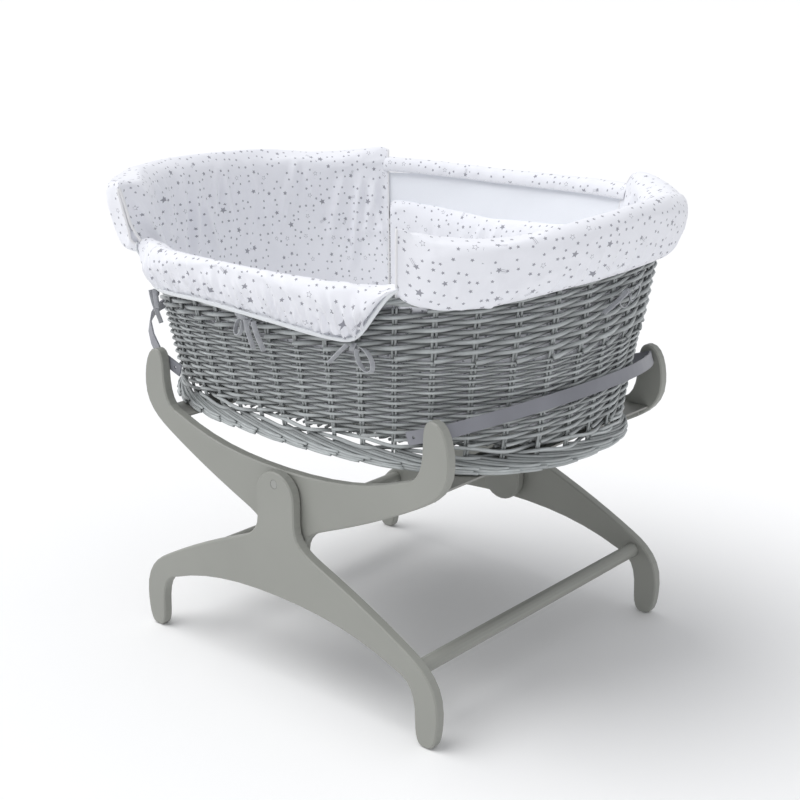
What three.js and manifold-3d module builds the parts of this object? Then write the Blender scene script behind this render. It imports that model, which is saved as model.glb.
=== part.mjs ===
// Baby cradle: an oval willow bassinet with a padded liner, carried by a wooden stand that tilts.
//
// Units are millimetres and +Z is up. +X runs along the bassinet towards its foot end, and -Y is
// the side whose liner flap is folded down. The origin is on the floor, under the middle of the
// bassinet. The four boards of the stand are cut to one outline: two stand on their feet as leg
// boards, and two hang upside down inside them as bow boards and turn on the pivot bolts.

import * as THREE from 'three';
import * as BufferGeometryUtils from 'three/addons/utils/BufferGeometryUtils.js';
import Module from 'manifold-3d';

const wasm = await Module();
wasm.setup();

// ---------------------------------------------------------------- driving dimensions

const GAP = 0.3; // clearance between pieces that touch

// Stand boards
const STAND_X = 28; // the bassinet sits this far towards its head end in the stand
const BOARD_THICK = 16;
const BOARD_CHAMFER = 2;
const BOARD_HEIGHT = 320; // sole of the foot to top of the neck
const NECK_HALF = 37;
const FOOT_REACH = 297; // middle of the board to the outside of a foot
const LEG_OUTER_Y = 278; // outer face of a leg board
const BOARD_SPACE = 1.6; // between a leg board and its bow board
const HORN_TOP = 450; // height from which the outline of a bow board hangs, just over its tips
const LEG_INNER_Y = LEG_OUTER_Y - BOARD_THICK;
const BOW_OUTER_Y = LEG_INNER_Y - BOARD_SPACE;
const BOW_INNER_Y = BOW_OUTER_Y - BOARD_THICK;

// Pivot between leg boards and bow boards
const PIVOT_Z = 302;
const PIVOT_R = 4;
const PIVOT_HEAD_R = 6.5;
const PIVOT_HEAD_THICK = 3;
const PIVOT_CAP_THICK = 2;
const PIVOT_RECESS = PIVOT_CAP_THICK + GAP + PIVOT_HEAD_THICK + GAP;
const PIVOT_WASHER_R = 11;
const PIVOT_NUT_R = 7.5;
const PIVOT_NUT_LENGTH = 9;

// Stretchers between the leg boards
const STRETCHER_X = 252;
const STRETCHER_Z = 102;
const STRETCHER_R = 11;
const STRETCHER_SOCKET = 6; // depth that a stretcher enters a leg board
const STRETCHER_BOLT_R = 3;
const STRETCHER_BOLT_LENGTH = 29;
const STRETCHER_BORE = 24; // depth of the bolt's bore in the stretcher

// Steel slats under the bassinet
const SLAT_TOP = 351;
const SLAT_X = 246;
const SLAT_WIDTH = 60;
const SLAT_THICK = 3;
const SLAT_FLANGE = 18;
const SLAT_FLANGE_WIDTH = 46;
const SLAT_SCREW_SPACING = 28;

// Steel bands round the ends of the bassinet
const BAND_HEIGHT = 18;
const BAND_THICK = 2.5;
const BAND_TILT = THREE.MathUtils.degToRad(19.3); // the bands rise away from the stand
const BAND_CORNER_X = 278;
const BAND_CORNER_Z = 430;
const BAND_SCREW_X = 271;
// How far the middle of a band bulges out, where its tabs end and where their spare holes are.
const FOOT_BAND = { name: 'band_foot', side: 1, bulge: 75, roundness: 2, tabX: 215, holeX: 226 };
const HEAD_BAND = { name: 'band_head', side: -1, bulge: 133, roundness: 4.5, tabX: 233, holeX: 244 };

// Wood screws for slats and bands
const SCREW_R = 2;
const SCREW_LENGTH = 14;
const SCREW_HEAD_R = 4;
const SCREW_HEAD_THICK = 2.4;

// Bassinet: the outer face of its willow wall is a flared oval
const OVAL_POWER = 2.5; // 2 would be an ellipse
const WALL_BOTTOM_Z = 352;
const WALL_HALF_LENGTH = 358; // at the bottom
const WALL_HALF_WIDTH = 237;
const FLARE_LENGTH = 0.142; // growth of the half length for each millimetre of height
const FLARE_WIDTH = 0.216;
const WALL_THICK = 9;
const LOW_RIM_Z = 578; // top of the willow wall along the sides
const HIGH_RIM_Z = 660; // and at the ends
const CORNER_X = 228; // where the low sides meet the high ends
const RIM_RISE = 44; // length over which the rim climbs
const BORDER_R = 8; // rolled border on the rim
const BORDER_GAP = 1; // between the wall and its border, which follow the climb in facets
const FOOT_BORDER_HEIGHT = 12;
const BASE_Z = 384; // underside of the base, above the openwork of the foot border
const BASE_THICK = 8;

// Liner
const PAD_BOTTOM_Z = 402;
const PAD_INSIDE = -25; // faces of the padding, as offsets from the wall's outer face
const PAD_OUTSIDE = -10.5;
const COVER_TOP = 698;
const COVER_HEM = 591;
const SIDE_TOP = 612;
const FLAP_HEM = 539;
const FAR_HEM = 545;
const WINDOW_BOTTOM = 608;
const WINDOW_TOP = 653;
const WINDOW_THICK = 3;
const TOP_BAND_HEIGHT = 31;
const LINER_SEAM = 0.004; // radians left between neighbouring panels
const MATTRESS_THICK = 32;
const MATTRESS_CLEARANCE = 28;

// Ribbon ties that hold the liner to the willow
const RIBBON_WIDTH = 7;
const RIBBON_THICK = 1.2;
const TIE_KNOT = { width: 34, height: 16, depth: 5 };
const TIE_OFFSET = 8; // back of a knot to the willow wall
const TAIL_OFFSET = 16; // wall to the middle of a tail, clear of the knot behind it
const TAIL_RISE = 4; // start of a tail above the middle of its knot
// Round the oval by angle, with the height of the knot. A tail lies over its knot: it starts
// `shift` along the wall from the middle of the knot, drops by `drop` and drifts by `drift`.
const TIES = [
  { name: 'tie_head', angle: 224, knotZ: 526, tails: [{ shift: -6, drop: 50, drift: 4 }] },
  {
    name: 'tie_middle',
    angle: 270,
    knotZ: 530,
    tails: [{ shift: -2, drop: 42, drift: 3 }, { shift: 13, drop: 42, drift: 8 }],
  },
  { name: 'tie_corner', angle: 303, knotZ: 522, tails: [{ shift: -8, drop: 30, drift: -30 }] },
  { name: 'tie_foot', angle: 1, knotZ: 580, tails: [{ shift: -8, drop: 22, drift: -46 }] },
];

// Fineness of the faceted solids
const OVAL_STEPS = 104; // round the oval
const CORNER_STEP = 14; // steps from the end of the oval to where the low side begins
const OUTLINE_STEPS = 6;
const ROUND_STEPS = 16;
const SCREW_STEPS = 10;

// ---------------------------------------------------------------- materials

function material(color, roughness, metalness = 0) {
  return new THREE.MeshStandardMaterial({ color, roughness, metalness });
}

const paintedWood = () => material(0xa3a4a0, 0.55);
const paintedSteel = () => material(0x8f9296, 0.5, 0.3);
const bareSteel = () => material(0xb8bac0, 0.35, 1);
const nylon = () => material(0xe6e6e2, 0.5);
const capPlastic = () => material(0x9c9d99, 0.5);
const willow = () => material(0x969899, 0.7);
const printedCotton = () => material(0xeeeef2, 0.9);
const windowMesh = () => material(0xdfe3ec, 0.8);
const mattressCloth = () => material(0xf2f2ee, 0.9);
const ribbon = () => material(0x8c8e93, 0.8);

// ---------------------------------------------------------------- geometry helpers

// Closed solid from a list of rings of points. The rings either run round into the first one
// again, or end in flat caps cut to the outline `section`.
function loft(rings, section = null) {
  const sides = rings[0].length;
  const positions = rings.flat().flatMap((point) => point.toArray());
  const index = [];
  const spans = section ? rings.length - 1 : rings.length;
  for (let i = 0; i < spans; i += 1) {
    const here = i * sides;
    const next = ((i + 1) % rings.length) * sides;
    for (let j = 0; j < sides; j += 1) {
      const k = (j + 1) % sides;
      index.push(here + j, here + k, next + k, here + j, next + k, next + j);
    }
  }
  if (section) {
    const last = (rings.length - 1) * sides;
    for (const [a, b, c] of THREE.ShapeUtils.triangulateShape(section, [])) {
      index.push(a, c, b);
      index.push(last + a, last + b, last + c);
    }
  }
  const geometry = new THREE.BufferGeometry();
  geometry.setAttribute('position', new THREE.Float32BufferAttribute(positions, 3));
  geometry.setIndex(index);
  geometry.computeVertexNormals();
  return facingOut(geometry);
}

function toManifold(geometry) {
  const plain = geometry.clone();
  plain.deleteAttribute('normal');
  plain.deleteAttribute('uv');
  const merged = BufferGeometryUtils.mergeVertices(plain, 1e-4);
  return new wasm.Manifold(new wasm.Mesh({
    numProp: 3,
    vertProperties: new Float32Array(merged.attributes.position.array),
    triVerts: new Uint32Array(merged.index.array),
  }));
}

// Turns the faces of a closed solid round if they point inwards.
function facingOut(geometry) {
  if (toManifold(geometry).volume() > 0) {
    return geometry;
  }
  const count = geometry.index ? geometry.index.count : geometry.attributes.position.count;
  const corners = geometry.index ? Array.from(geometry.index.array) : [...Array(count).keys()];
  const flipped = geometry.clone();
  flipped.setIndex(corners.reverse());
  flipped.computeVertexNormals();
  return flipped;
}

// Cuts every tool out of the body.
function cut(body, tools) {
  let solid = toManifold(facingOut(body));
  for (const tool of tools) {
    solid = solid.subtract(toManifold(facingOut(tool)));
  }
  const result = solid.getMesh();
  const geometry = new THREE.BufferGeometry();
  geometry.setAttribute('position', new THREE.Float32BufferAttribute(result.vertProperties, 3));
  geometry.setIndex(Array.from(result.triVerts));
  geometry.computeVertexNormals();
  return geometry;
}

// Round solid from a profile of [radius, distance] pairs, with its axis along +Y.
function turned(profile, steps = ROUND_STEPS) {
  return new THREE.LatheGeometry(profile.map(([r, y]) => new THREE.Vector2(r, y)), steps);
}

// Straight round rod along Y between two places.
function rodAlongY(radius, from, to, x = 0, z = 0, steps = ROUND_STEPS) {
  return turned([[0, from], [radius, from], [radius, to], [0, to]], steps).translate(x, 0, z);
}

// Outline of a strip of even thickness that follows a list of points.
function stripOutline(points, thickness) {
  const left = [];
  const right = [];
  const heading = (i) => points[i + 1].clone().sub(points[i]).normalize();
  points.forEach((point, i) => {
    const before = heading(Math.max(i - 1, 0));
    const after = heading(Math.min(i, points.length - 2));
    const along = before.clone().add(after).normalize();
    const across = new THREE.Vector2(-along.y, along.x);
    const miter = thickness / 2 / before.dot(along);
    left.push(point.clone().addScaledVector(across, miter));
    right.push(point.clone().addScaledVector(across, -miter));
  });
  return new THREE.Shape([...left, ...right.reverse()]);
}

// ---------------------------------------------------------------- assembly

const cradle = new THREE.Group();

function add(name, geometry, surface) {
  const mesh = new THREE.Mesh(geometry, surface);
  mesh.name = name;
  cradle.add(mesh);
  return mesh;
}

// ---------------------------------------------------------------- stand boards

// Right half of the board's outline, from the top of the neck round a tip to the middle of the
// arch. A row is a straight stretch to one point, or a Bezier stretch with two handles and an end.
const NECK_AND_SHOULDER = [
  [[20.4, BOARD_HEIGHT], [NECK_HALF, 303.4], [NECK_HALF, 283]],
  [[NECK_HALF, 246]],
  [[38, 222], [54, 213], [84, 201]],
  [[140, 179], [195, 154], [245, 127]],
];
const FOOT_TIP = [
  [[273, 112], [FOOT_REACH, 92], [FOOT_REACH, 52]],
  [[FOOT_REACH, 26], [293, 0], [281, 0]],
  [[271, 0]],
  [[262, 0], [258, 12], [258, 32]],
  [[258, 74], [247, 90], [224, 95]],
];
const HORN_TIP = [
  [[273, 112], [FOOT_REACH, 94], [FOOT_REACH, 60]],
  [[FOOT_REACH, 34], [289, 4], [269, 4]],
  [[258, 4], [254, 16], [254, 34]],
  [[254, 74], [245, 91], [222, 96]],
];
const ARCH = [
  [[160, 121], [90, 132], [0, 132]],
];

function boardShape(tip) {
  const rows = [...NECK_AND_SHOULDER, ...tip, ...ARCH];
  const shape = new THREE.Shape();
  const mirrored = ([x, z]) => [-x, z];
  let from = [0, BOARD_HEIGHT];
  const corners = [from];
  shape.moveTo(...from);
  for (const stretch of rows) {
    if (stretch.length === 1) {
      shape.lineTo(...stretch[0]);
    } else {
      shape.bezierCurveTo(...stretch.flat());
    }
    from = stretch.at(-1);
    corners.push(from);
  }
  for (let i = rows.length - 1; i >= 0; i -= 1) {
    const stretch = rows[i];
    const end = mirrored(corners[i]);
    if (stretch.length === 1) {
      shape.lineTo(...end);
    } else {
      shape.bezierCurveTo(...mirrored(stretch[1]), ...mirrored(stretch[0]), ...end);
    }
  }
  return shape;
}

// A board upright in the XZ plane, with its thickness from y = 0 to y = -BOARD_THICK.
function boardBlank(tip) {
  const blank = new THREE.ExtrudeGeometry(boardShape(tip), {
    depth: BOARD_THICK - 2 * BOARD_CHAMFER,
    bevelThickness: BOARD_CHAMFER,
    bevelSize: BOARD_CHAMFER,
    bevelOffset: -BOARD_CHAMFER,
    bevelSegments: 1,
    curveSegments: OUTLINE_STEPS,
  });
  return blank.translate(0, 0, BOARD_CHAMFER).rotateX(Math.PI / 2);
}

// side is -1 for the near (-Y) board and 1 for the far one.
function legBoard(side) {
  const inner = side * LEG_INNER_Y;
  const outer = side * LEG_OUTER_Y;
  const blank = boardBlank(FOOT_TIP).translate(0, Math.max(inner, outer), 0);
  const recess = outer - side * PIVOT_RECESS;
  const tools = [
    rodAlongY(PIVOT_R + GAP, -side * BOARD_THICK + outer, outer + side, 0, PIVOT_Z),
    rodAlongY(PIVOT_HEAD_R + GAP, recess, outer + side, 0, PIVOT_Z),
  ];
  const socketFloor = inner + side * STRETCHER_SOCKET;
  const boltFloor = socketFloor + side * (STRETCHER_BOLT_LENGTH - STRETCHER_BORE + 1);
  for (const x of [-STRETCHER_X, STRETCHER_X]) {
    tools.push(rodAlongY(STRETCHER_R + GAP, inner - side, socketFloor, x, STRETCHER_Z));
    tools.push(rodAlongY(STRETCHER_BOLT_R + GAP, inner - side, boltFloor, x, STRETCHER_Z));
  }
  return cut(blank, tools).translate(STAND_X, 0, 0);
}

const bandHeightAt = (x) => BAND_CORNER_Z + (x - BAND_CORNER_X) * Math.tan(BAND_TILT);

// Where screws enter a bow board: two for each slat and one for each band, as [x, z].
function bowScrewPlaces() {
  const places = [];
  for (const end of [-1, 1]) {
    for (const step of [-0.5, 0.5]) {
      places.push([end * (SLAT_X - 7) + step * SLAT_SCREW_SPACING, SLAT_TOP - SLAT_FLANGE / 2]);
    }
    places.push([end * BAND_SCREW_X, bandHeightAt(BAND_SCREW_X)]);
  }
  return places;
}

function bowBoard(side) {
  const inner = side * BOW_INNER_Y;
  const outer = side * BOW_OUTER_Y;
  const blank = boardBlank(HORN_TIP).scale(1, 1, -1).translate(0, Math.max(inner, outer), HORN_TOP);
  const tools = [rodAlongY(PIVOT_R + GAP, inner - side, outer + side, 0, PIVOT_Z)];
  for (const [x, z] of bowScrewPlaces()) {
    tools.push(rodAlongY(SCREW_R + GAP, inner - side, inner + side * (SCREW_LENGTH - 1), x, z, SCREW_STEPS));
  }
  return cut(blank, tools).translate(STAND_X, 0, 0);
}

function addBoards() {
  for (const [word, side] of [['near', -1], ['far', 1]]) {
    add(`leg_board_${word}`, legBoard(side), paintedWood());
    add(`bow_board_${word}`, bowBoard(side), paintedWood());
  }
}

// ---------------------------------------------------------------- pivots

// Each piece is turned about +Y for the far side, and half a turn about Z puts it on the near side.
function addPivotPiece(name, profile, surface) {
  for (const [word, side] of [['near', -1], ['far', 1]]) {
    const mesh = add(`${name}_${word}`, turned(profile), surface());
    mesh.position.set(STAND_X, 0, PIVOT_Z);
    mesh.rotation.z = side < 0 ? Math.PI : 0;
  }
}

function addPivots() {
  const headOuter = LEG_OUTER_Y - PIVOT_CAP_THICK - GAP;
  const headInner = headOuter - PIVOT_HEAD_THICK;
  const shankEnd = BOW_INNER_Y - GAP - PIVOT_NUT_LENGTH + 3;
  addPivotPiece('pivot_bolt', [
    [0, shankEnd], [PIVOT_R - 0.6, shankEnd], [PIVOT_R, shankEnd + 0.6],
    [PIVOT_R, headInner], [PIVOT_HEAD_R, headInner], [PIVOT_HEAD_R, headOuter], [0, headOuter],
  ], bareSteel);
  addPivotPiece('pivot_cap', [
    [0, LEG_OUTER_Y - PIVOT_CAP_THICK], [PIVOT_HEAD_R, LEG_OUTER_Y - PIVOT_CAP_THICK],
    [PIVOT_HEAD_R, LEG_OUTER_Y - 0.5], [PIVOT_HEAD_R - 0.5, LEG_OUTER_Y], [0, LEG_OUTER_Y],
  ], capPlastic);
  addPivotPiece('pivot_washer', [
    [PIVOT_R + GAP, BOW_OUTER_Y + GAP], [PIVOT_WASHER_R, BOW_OUTER_Y + GAP],
    [PIVOT_WASHER_R, LEG_INNER_Y - GAP], [PIVOT_R + GAP, LEG_INNER_Y - GAP],
    [PIVOT_R + GAP, BOW_OUTER_Y + GAP],
  ], nylon);
  const nutOuter = BOW_INNER_Y - GAP;
  const nutInner = nutOuter - PIVOT_NUT_LENGTH;
  addPivotPiece('pivot_nut', [
    [0, nutInner], [3, nutInner + 0.4], [5.5, nutInner + 2], [PIVOT_NUT_R, nutInner + 4.5],
    [PIVOT_NUT_R, nutOuter], [PIVOT_R + GAP, nutOuter], [PIVOT_R + GAP, shankEnd - GAP],
    [0, shankEnd - GAP],
  ], bareSteel);
}

// ---------------------------------------------------------------- stretchers

function addStretchers() {
  const end = LEG_INNER_Y + STRETCHER_SOCKET - GAP;
  const boreR = STRETCHER_BOLT_R + GAP;
  const chamfer = 1;
  const profile = [
    [0, -end + STRETCHER_BORE], [boreR, -end + STRETCHER_BORE], [boreR, -end],
    [STRETCHER_R - chamfer, -end], [STRETCHER_R, -end + chamfer],
    [STRETCHER_R, end - chamfer], [STRETCHER_R - chamfer, end],
    [boreR, end], [boreR, end - STRETCHER_BORE], [0, end - STRETCHER_BORE],
  ];
  const boltStart = end - STRETCHER_BORE + GAP;
  const bolt = [
    [0, boltStart], [STRETCHER_BOLT_R, boltStart],
    [STRETCHER_BOLT_R, boltStart + STRETCHER_BOLT_LENGTH], [0, boltStart + STRETCHER_BOLT_LENGTH],
  ];
  for (const [word, x] of [['head', -STRETCHER_X], ['foot', STRETCHER_X]]) {
    const rod = add(`stretcher_${word}`, turned(profile), paintedWood());
    rod.position.set(STAND_X + x, 0, STRETCHER_Z);
    for (const [place, turn] of [['near', Math.PI], ['far', 0]]) {
      const stud = add(`stretcher_bolt_${word}_${place}`, turned(bolt, SCREW_STEPS), bareSteel());
      stud.position.set(STAND_X + x, 0, STRETCHER_Z);
      stud.rotation.z = turn;
    }
  }
}

// ---------------------------------------------------------------- screws

// A pan-head wood screw driven outwards through a sheet that lies on a bow board's inner face.
function addScrew(name, x, z, side, sheetThick) {
  const under = BOW_INNER_Y - GAP - sheetThick - GAP;
  const tip = under + SCREW_LENGTH;
  const profile = [
    [0, under - SCREW_HEAD_THICK], [SCREW_HEAD_R * 0.7, under - SCREW_HEAD_THICK],
    [SCREW_HEAD_R, under - SCREW_HEAD_THICK * 0.4], [SCREW_HEAD_R, under],
    [SCREW_R, under], [SCREW_R, tip - 3], [0, tip],
  ];
  const screw = add(name, turned(profile, SCREW_STEPS), bareSteel());
  screw.position.set(STAND_X + x, 0, z);
  screw.rotation.z = side < 0 ? Math.PI : 0;
}

// ---------------------------------------------------------------- slats

function slat(end) {
  const half = BOW_INNER_Y - GAP;
  const lip = SLAT_TOP - SLAT_FLANGE;
  const under = SLAT_TOP - SLAT_THICK;
  const profile = new THREE.Shape([
    [-half, lip], [-half + SLAT_THICK, lip], [-half + SLAT_THICK, under],
    [half - SLAT_THICK, under], [half - SLAT_THICK, lip], [half, lip],
    [half, SLAT_TOP], [-half, SLAT_TOP],
  ].map(([y, z]) => new THREE.Vector2(y, z)));
  const blank = new THREE.ExtrudeGeometry(profile, { depth: SLAT_WIDTH, bevelEnabled: false });
  blank.rotateX(Math.PI / 2).rotateZ(Math.PI / 2).translate(-SLAT_WIDTH / 2, 0, 0);
  const spare = SLAT_WIDTH - SLAT_FLANGE_WIDTH;
  const corner = new THREE.BoxGeometry(spare * 2, 2 * half + 10, 2 * (SLAT_FLANGE - SLAT_THICK));
  corner.translate(end * SLAT_WIDTH / 2, 0, lip);
  const tools = [corner];
  for (const step of [-0.5, 0.5]) {
    const x = -end * 7 + step * SLAT_SCREW_SPACING;
    tools.push(rodAlongY(SCREW_R + GAP, -half - 5, half + 5, x, lip + SLAT_FLANGE / 2, SCREW_STEPS));
  }
  return cut(blank, tools);
}

function addSlats() {
  for (const [word, end] of [['head', -1], ['foot', 1]]) {
    const mesh = add(`slat_${word}`, slat(end), paintedSteel());
    mesh.position.x = STAND_X + end * SLAT_X;
    for (const [place, side] of [['near', -1], ['far', 1]]) {
      [-0.5, 0.5].forEach((step, i) => {
        const x = end * (SLAT_X - 7) + step * SLAT_SCREW_SPACING;
        addScrew(`slat_screw_${word}_${place}_${i + 1}`, x, SLAT_TOP - SLAT_FLANGE / 2, side, SLAT_THICK);
      });
    }
  }
}

// ---------------------------------------------------------------- bands

// Middle line of a band, seen square to its tilted plane and measured from the band's corner.
function bandLine({ side, bulge, roundness, tabX }) {
  const reach = BOW_INNER_Y - GAP - BAND_THICK / 2;
  const stretch = 1 / Math.cos(BAND_TILT);
  const tab = (tabX - BAND_CORNER_X) * stretch;
  const points = [new THREE.Vector2(side * tab, -reach)];
  const steps = 24;
  for (let i = 0; i <= steps; i += 1) {
    const t = -1 + (2 * i) / steps;
    const out = bulge * (1 - Math.abs(t) ** roundness) * stretch;
    points.push(new THREE.Vector2(side * out, t * reach));
  }
  points.push(new THREE.Vector2(side * tab, reach));
  return points;
}

function band(kind) {
  const shape = stripOutline(bandLine(kind), BAND_THICK);
  const strip = new THREE.ExtrudeGeometry(shape, { depth: BAND_HEIGHT, bevelEnabled: false });
  strip.translate(0, 0, -BAND_HEIGHT / 2).rotateY(-kind.side * BAND_TILT);
  strip.translate(kind.side * BAND_CORNER_X, 0, BAND_CORNER_Z);
  const tools = [];
  for (const x of [kind.holeX, BAND_SCREW_X]) {
    const place = [kind.side * x, bandHeightAt(x), SCREW_STEPS];
    tools.push(rodAlongY(SCREW_R + GAP, -BOW_OUTER_Y, -BOW_INNER_Y + 8, ...place));
    tools.push(rodAlongY(SCREW_R + GAP, BOW_INNER_Y - 8, BOW_OUTER_Y, ...place));
  }
  return cut(strip, tools);
}

function addBands() {
  for (const kind of [FOOT_BAND, HEAD_BAND]) {
    const mesh = add(kind.name, band(kind), paintedSteel());
    mesh.position.x = STAND_X;
    for (const [place, side] of [['near', -1], ['far', 1]]) {
      const x = kind.side * BAND_SCREW_X;
      addScrew(`${kind.name}_screw_${place}`, x, bandHeightAt(BAND_SCREW_X), side, BAND_THICK);
    }
  }
}

// ---------------------------------------------------------------- bassinet

// A point of the flared oval: `offset` is measured outwards from the wall's outer face.
function ovalPoint(angle, offset, z) {
  const rise = z - WALL_BOTTOM_Z;
  const a = WALL_HALF_LENGTH + FLARE_LENGTH * rise + offset;
  const b = WALL_HALF_WIDTH + FLARE_WIDTH * rise + offset;
  const c = Math.abs(Math.cos(angle) / a) ** OVAL_POWER;
  const s = Math.abs(Math.sin(angle) / b) ** OVAL_POWER;
  const r = (c + s) ** (-1 / OVAL_POWER);
  return new THREE.Vector3(r * Math.cos(angle), r * Math.sin(angle), z);
}

const turnOf = (i, steps) => (2 * Math.PI * i) / steps;

// Height of the willow rim, which climbs from the low sides to the high ends.
function rimHeight(x) {
  const t = THREE.MathUtils.smoothstep(Math.abs(x), CORNER_X + 8, CORNER_X + 8 + RIM_RISE);
  return THREE.MathUtils.lerp(LOW_RIM_Z, HIGH_RIM_Z, t);
}

const rimAt = (angle) => rimHeight(ovalPoint(angle, 0, LOW_RIM_Z).x);

// A ring all round the oval, whose cross-section may change with the angle.
function ovalRing(sectionAt, steps = OVAL_STEPS) {
  const rings = [];
  for (let i = 0; i < steps; i += 1) {
    const angle = turnOf(i, steps);
    rings.push(sectionAt(angle).map(([offset, z]) => ovalPoint(angle, offset, z)));
  }
  return loft(rings);
}

function willowWall() {
  const bottom = WALL_BOTTOM_Z + FOOT_BORDER_HEIGHT + GAP;
  return ovalRing((angle) => {
    const top = rimAt(angle);
    const middle = (bottom + top) / 2;
    return [
      [0, bottom], [0, middle], [0, top],
      [-WALL_THICK, top], [-WALL_THICK, middle], [-WALL_THICK, bottom],
    ];
  });
}

function rimBorder() {
  const corners = 6;
  return ovalRing((angle) => {
    const middle = rimAt(angle) + BORDER_GAP + BORDER_R;
    return [...Array(corners).keys()].map((j) => {
      const turn = turnOf(j + 0.5, corners);
      return [-WALL_THICK / 2 + BORDER_R * Math.cos(turn), middle + BORDER_R * Math.sin(turn)];
    });
  });
}

function footBorder() {
  const low = WALL_BOTTOM_Z;
  const high = WALL_BOTTOM_Z + FOOT_BORDER_HEIGHT;
  return ovalRing(() => [[-2, low], [2, high], [-16, high], [-12, low]], OVAL_STEPS / 2);
}

// Solid oval slab between two heights, with eased edges.
function ovalSlab(low, high, offset, ease) {
  const steps = OVAL_STEPS / 2;
  const rings = [[-ease, low], [0, low + ease], [0, high - ease], [-ease, high]].map(([inset, z]) => {
    const ring = [];
    for (let i = 0; i < steps; i += 1) {
      ring.push(ovalPoint(turnOf(i, steps), offset + inset, z));
    }
    return ring;
  });
  return loft(rings, rings[0].map(({ x, y }) => new THREE.Vector2(x, y)));
}

function addBassinet() {
  add('willow_wall', willowWall(), willow());
  add('rim_border', rimBorder(), willow());
  add('foot_border', footBorder(), willow());
  add('basket_base', ovalSlab(BASE_Z, BASE_Z + BASE_THICK, -WALL_THICK - 1, 1), willow());
  const bed = BASE_Z + BASE_THICK + GAP;
  add('mattress', ovalSlab(bed, bed + MATTRESS_THICK, -MATTRESS_CLEARANCE, 8), mattressCloth());
}

// ---------------------------------------------------------------- liner

// Part of the liner that runs along the oval from one step to another, with `seam` radians to
// spare at each end.
function ovalStretch(sectionAt, firstStep, lastStep, seam = 0) {
  const rings = [];
  for (let i = firstStep; i <= lastStep; i += 1) {
    const inset = (i === firstStep) - (i === lastStep);
    const angle = turnOf(i, OVAL_STEPS) + inset * seam;
    rings.push(sectionAt(angle).map(([offset, z]) => ovalPoint(angle, offset, z)));
  }
  const endSection = sectionAt(turnOf(firstStep, OVAL_STEPS));
  return loft(rings, endSection.map(([offset, z]) => new THREE.Vector2(offset, z)));
}

// Room that a cover leaves round the rolled border of the rim.
function borderRoom(angle) {
  const rim = rimAt(angle);
  const crown = rim + BORDER_GAP + 2 * BORDER_R + 1;
  const inside = -WALL_THICK / 2 - BORDER_R - 0.8;
  return [[PAD_OUTSIDE, rim - 9], [inside, rim - 3], [inside, crown], [4.6, crown]];
}

// Padding inside a high end, over its rim and down the outside to the hem.
const coverSection = (angle) => [
  [4.6, COVER_HEM], [20, COVER_HEM - 1], [29, COVER_HEM + 12], [35, 640], [33, 672], [22, 690],
  [4, COVER_TOP], [-14, COVER_TOP - 1], [-26, 688], [-28, 668],
  [PAD_INSIDE, 560], [PAD_INSIDE, PAD_BOTTOM_Z], [PAD_OUTSIDE, PAD_BOTTOM_Z],
  ...borderRoom(angle),
];

// Padding inside the near side and its flap, folded down outside over the low rim.
const flapSection = (angle) => [
  [4.6, FLAP_HEM + 2], [17, FLAP_HEM], [23, FLAP_HEM + 8], [26, 575], [23, 598], [13, 609],
  [-3, SIDE_TOP], [-18, SIDE_TOP - 3], [-26, 600],
  [PAD_INSIDE, 560], [PAD_INSIDE, PAD_BOTTOM_Z], [PAD_OUTSIDE, PAD_BOTTOM_Z],
  ...borderRoom(angle),
];

// Padding inside the far side, below its raised window.
const farSection = (angle) => [
  [4.6, FAR_HEM], [16, FAR_HEM], [21, FAR_HEM + 12], [21, 588], [12, 603],
  [-3, WINDOW_BOTTOM - 1], [-18, WINDOW_BOTTOM - 2], [-26, 598],
  [PAD_INSIDE, 560], [PAD_INSIDE, PAD_BOTTOM_Z], [PAD_OUTSIDE, PAD_BOTTOM_Z],
  ...borderRoom(angle),
];

const windowSection = () => [
  [-6, WINDOW_BOTTOM], [-6, WINDOW_TOP], [-6 - WINDOW_THICK, WINDOW_TOP],
  [-6 - WINDOW_THICK, WINDOW_BOTTOM],
];

const TOP_BAND_LOW = WINDOW_TOP + GAP;
const topBandSection = () => [
  [2, TOP_BAND_LOW], [7, TOP_BAND_LOW + 8], [6, TOP_BAND_LOW + 22], [-2, TOP_BAND_LOW + TOP_BAND_HEIGHT],
  [-12, TOP_BAND_LOW + TOP_BAND_HEIGHT], [-18, TOP_BAND_LOW + 22], [-18, TOP_BAND_LOW + 8],
  [-14, TOP_BAND_LOW],
];

function addLiner() {
  const half = OVAL_STEPS / 2;
  const head = [half - CORNER_STEP, half + CORNER_STEP];
  const foot = [-CORNER_STEP, CORNER_STEP];
  const near = [half + CORNER_STEP, OVAL_STEPS - CORNER_STEP, LINER_SEAM];
  const far = [CORNER_STEP, half - CORNER_STEP, LINER_SEAM];
  add('liner_head', ovalStretch(coverSection, ...head), printedCotton());
  add('liner_foot', ovalStretch(coverSection, ...foot), printedCotton());
  add('liner_near_flap', ovalStretch(flapSection, ...near), printedCotton());
  add('liner_far_side', ovalStretch(farSection, ...far), printedCotton());
  add('far_window', ovalStretch(windowSection, ...far), windowMesh());
  add('far_top_band', ovalStretch(topBandSection, ...far), printedCotton());
}

// ---------------------------------------------------------------- ties

// Directions along and out of the wall at an angle, and a point outside the wall.
function wallFrame(angle, offset, z) {
  const place = ovalPoint(angle, offset, z);
  const along = ovalPoint(angle + 0.01, offset, z).sub(ovalPoint(angle - 0.01, offset, z)).normalize();
  const out = new THREE.Vector3(along.y, -along.x, 0);
  return { place, along, out };
}

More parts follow.
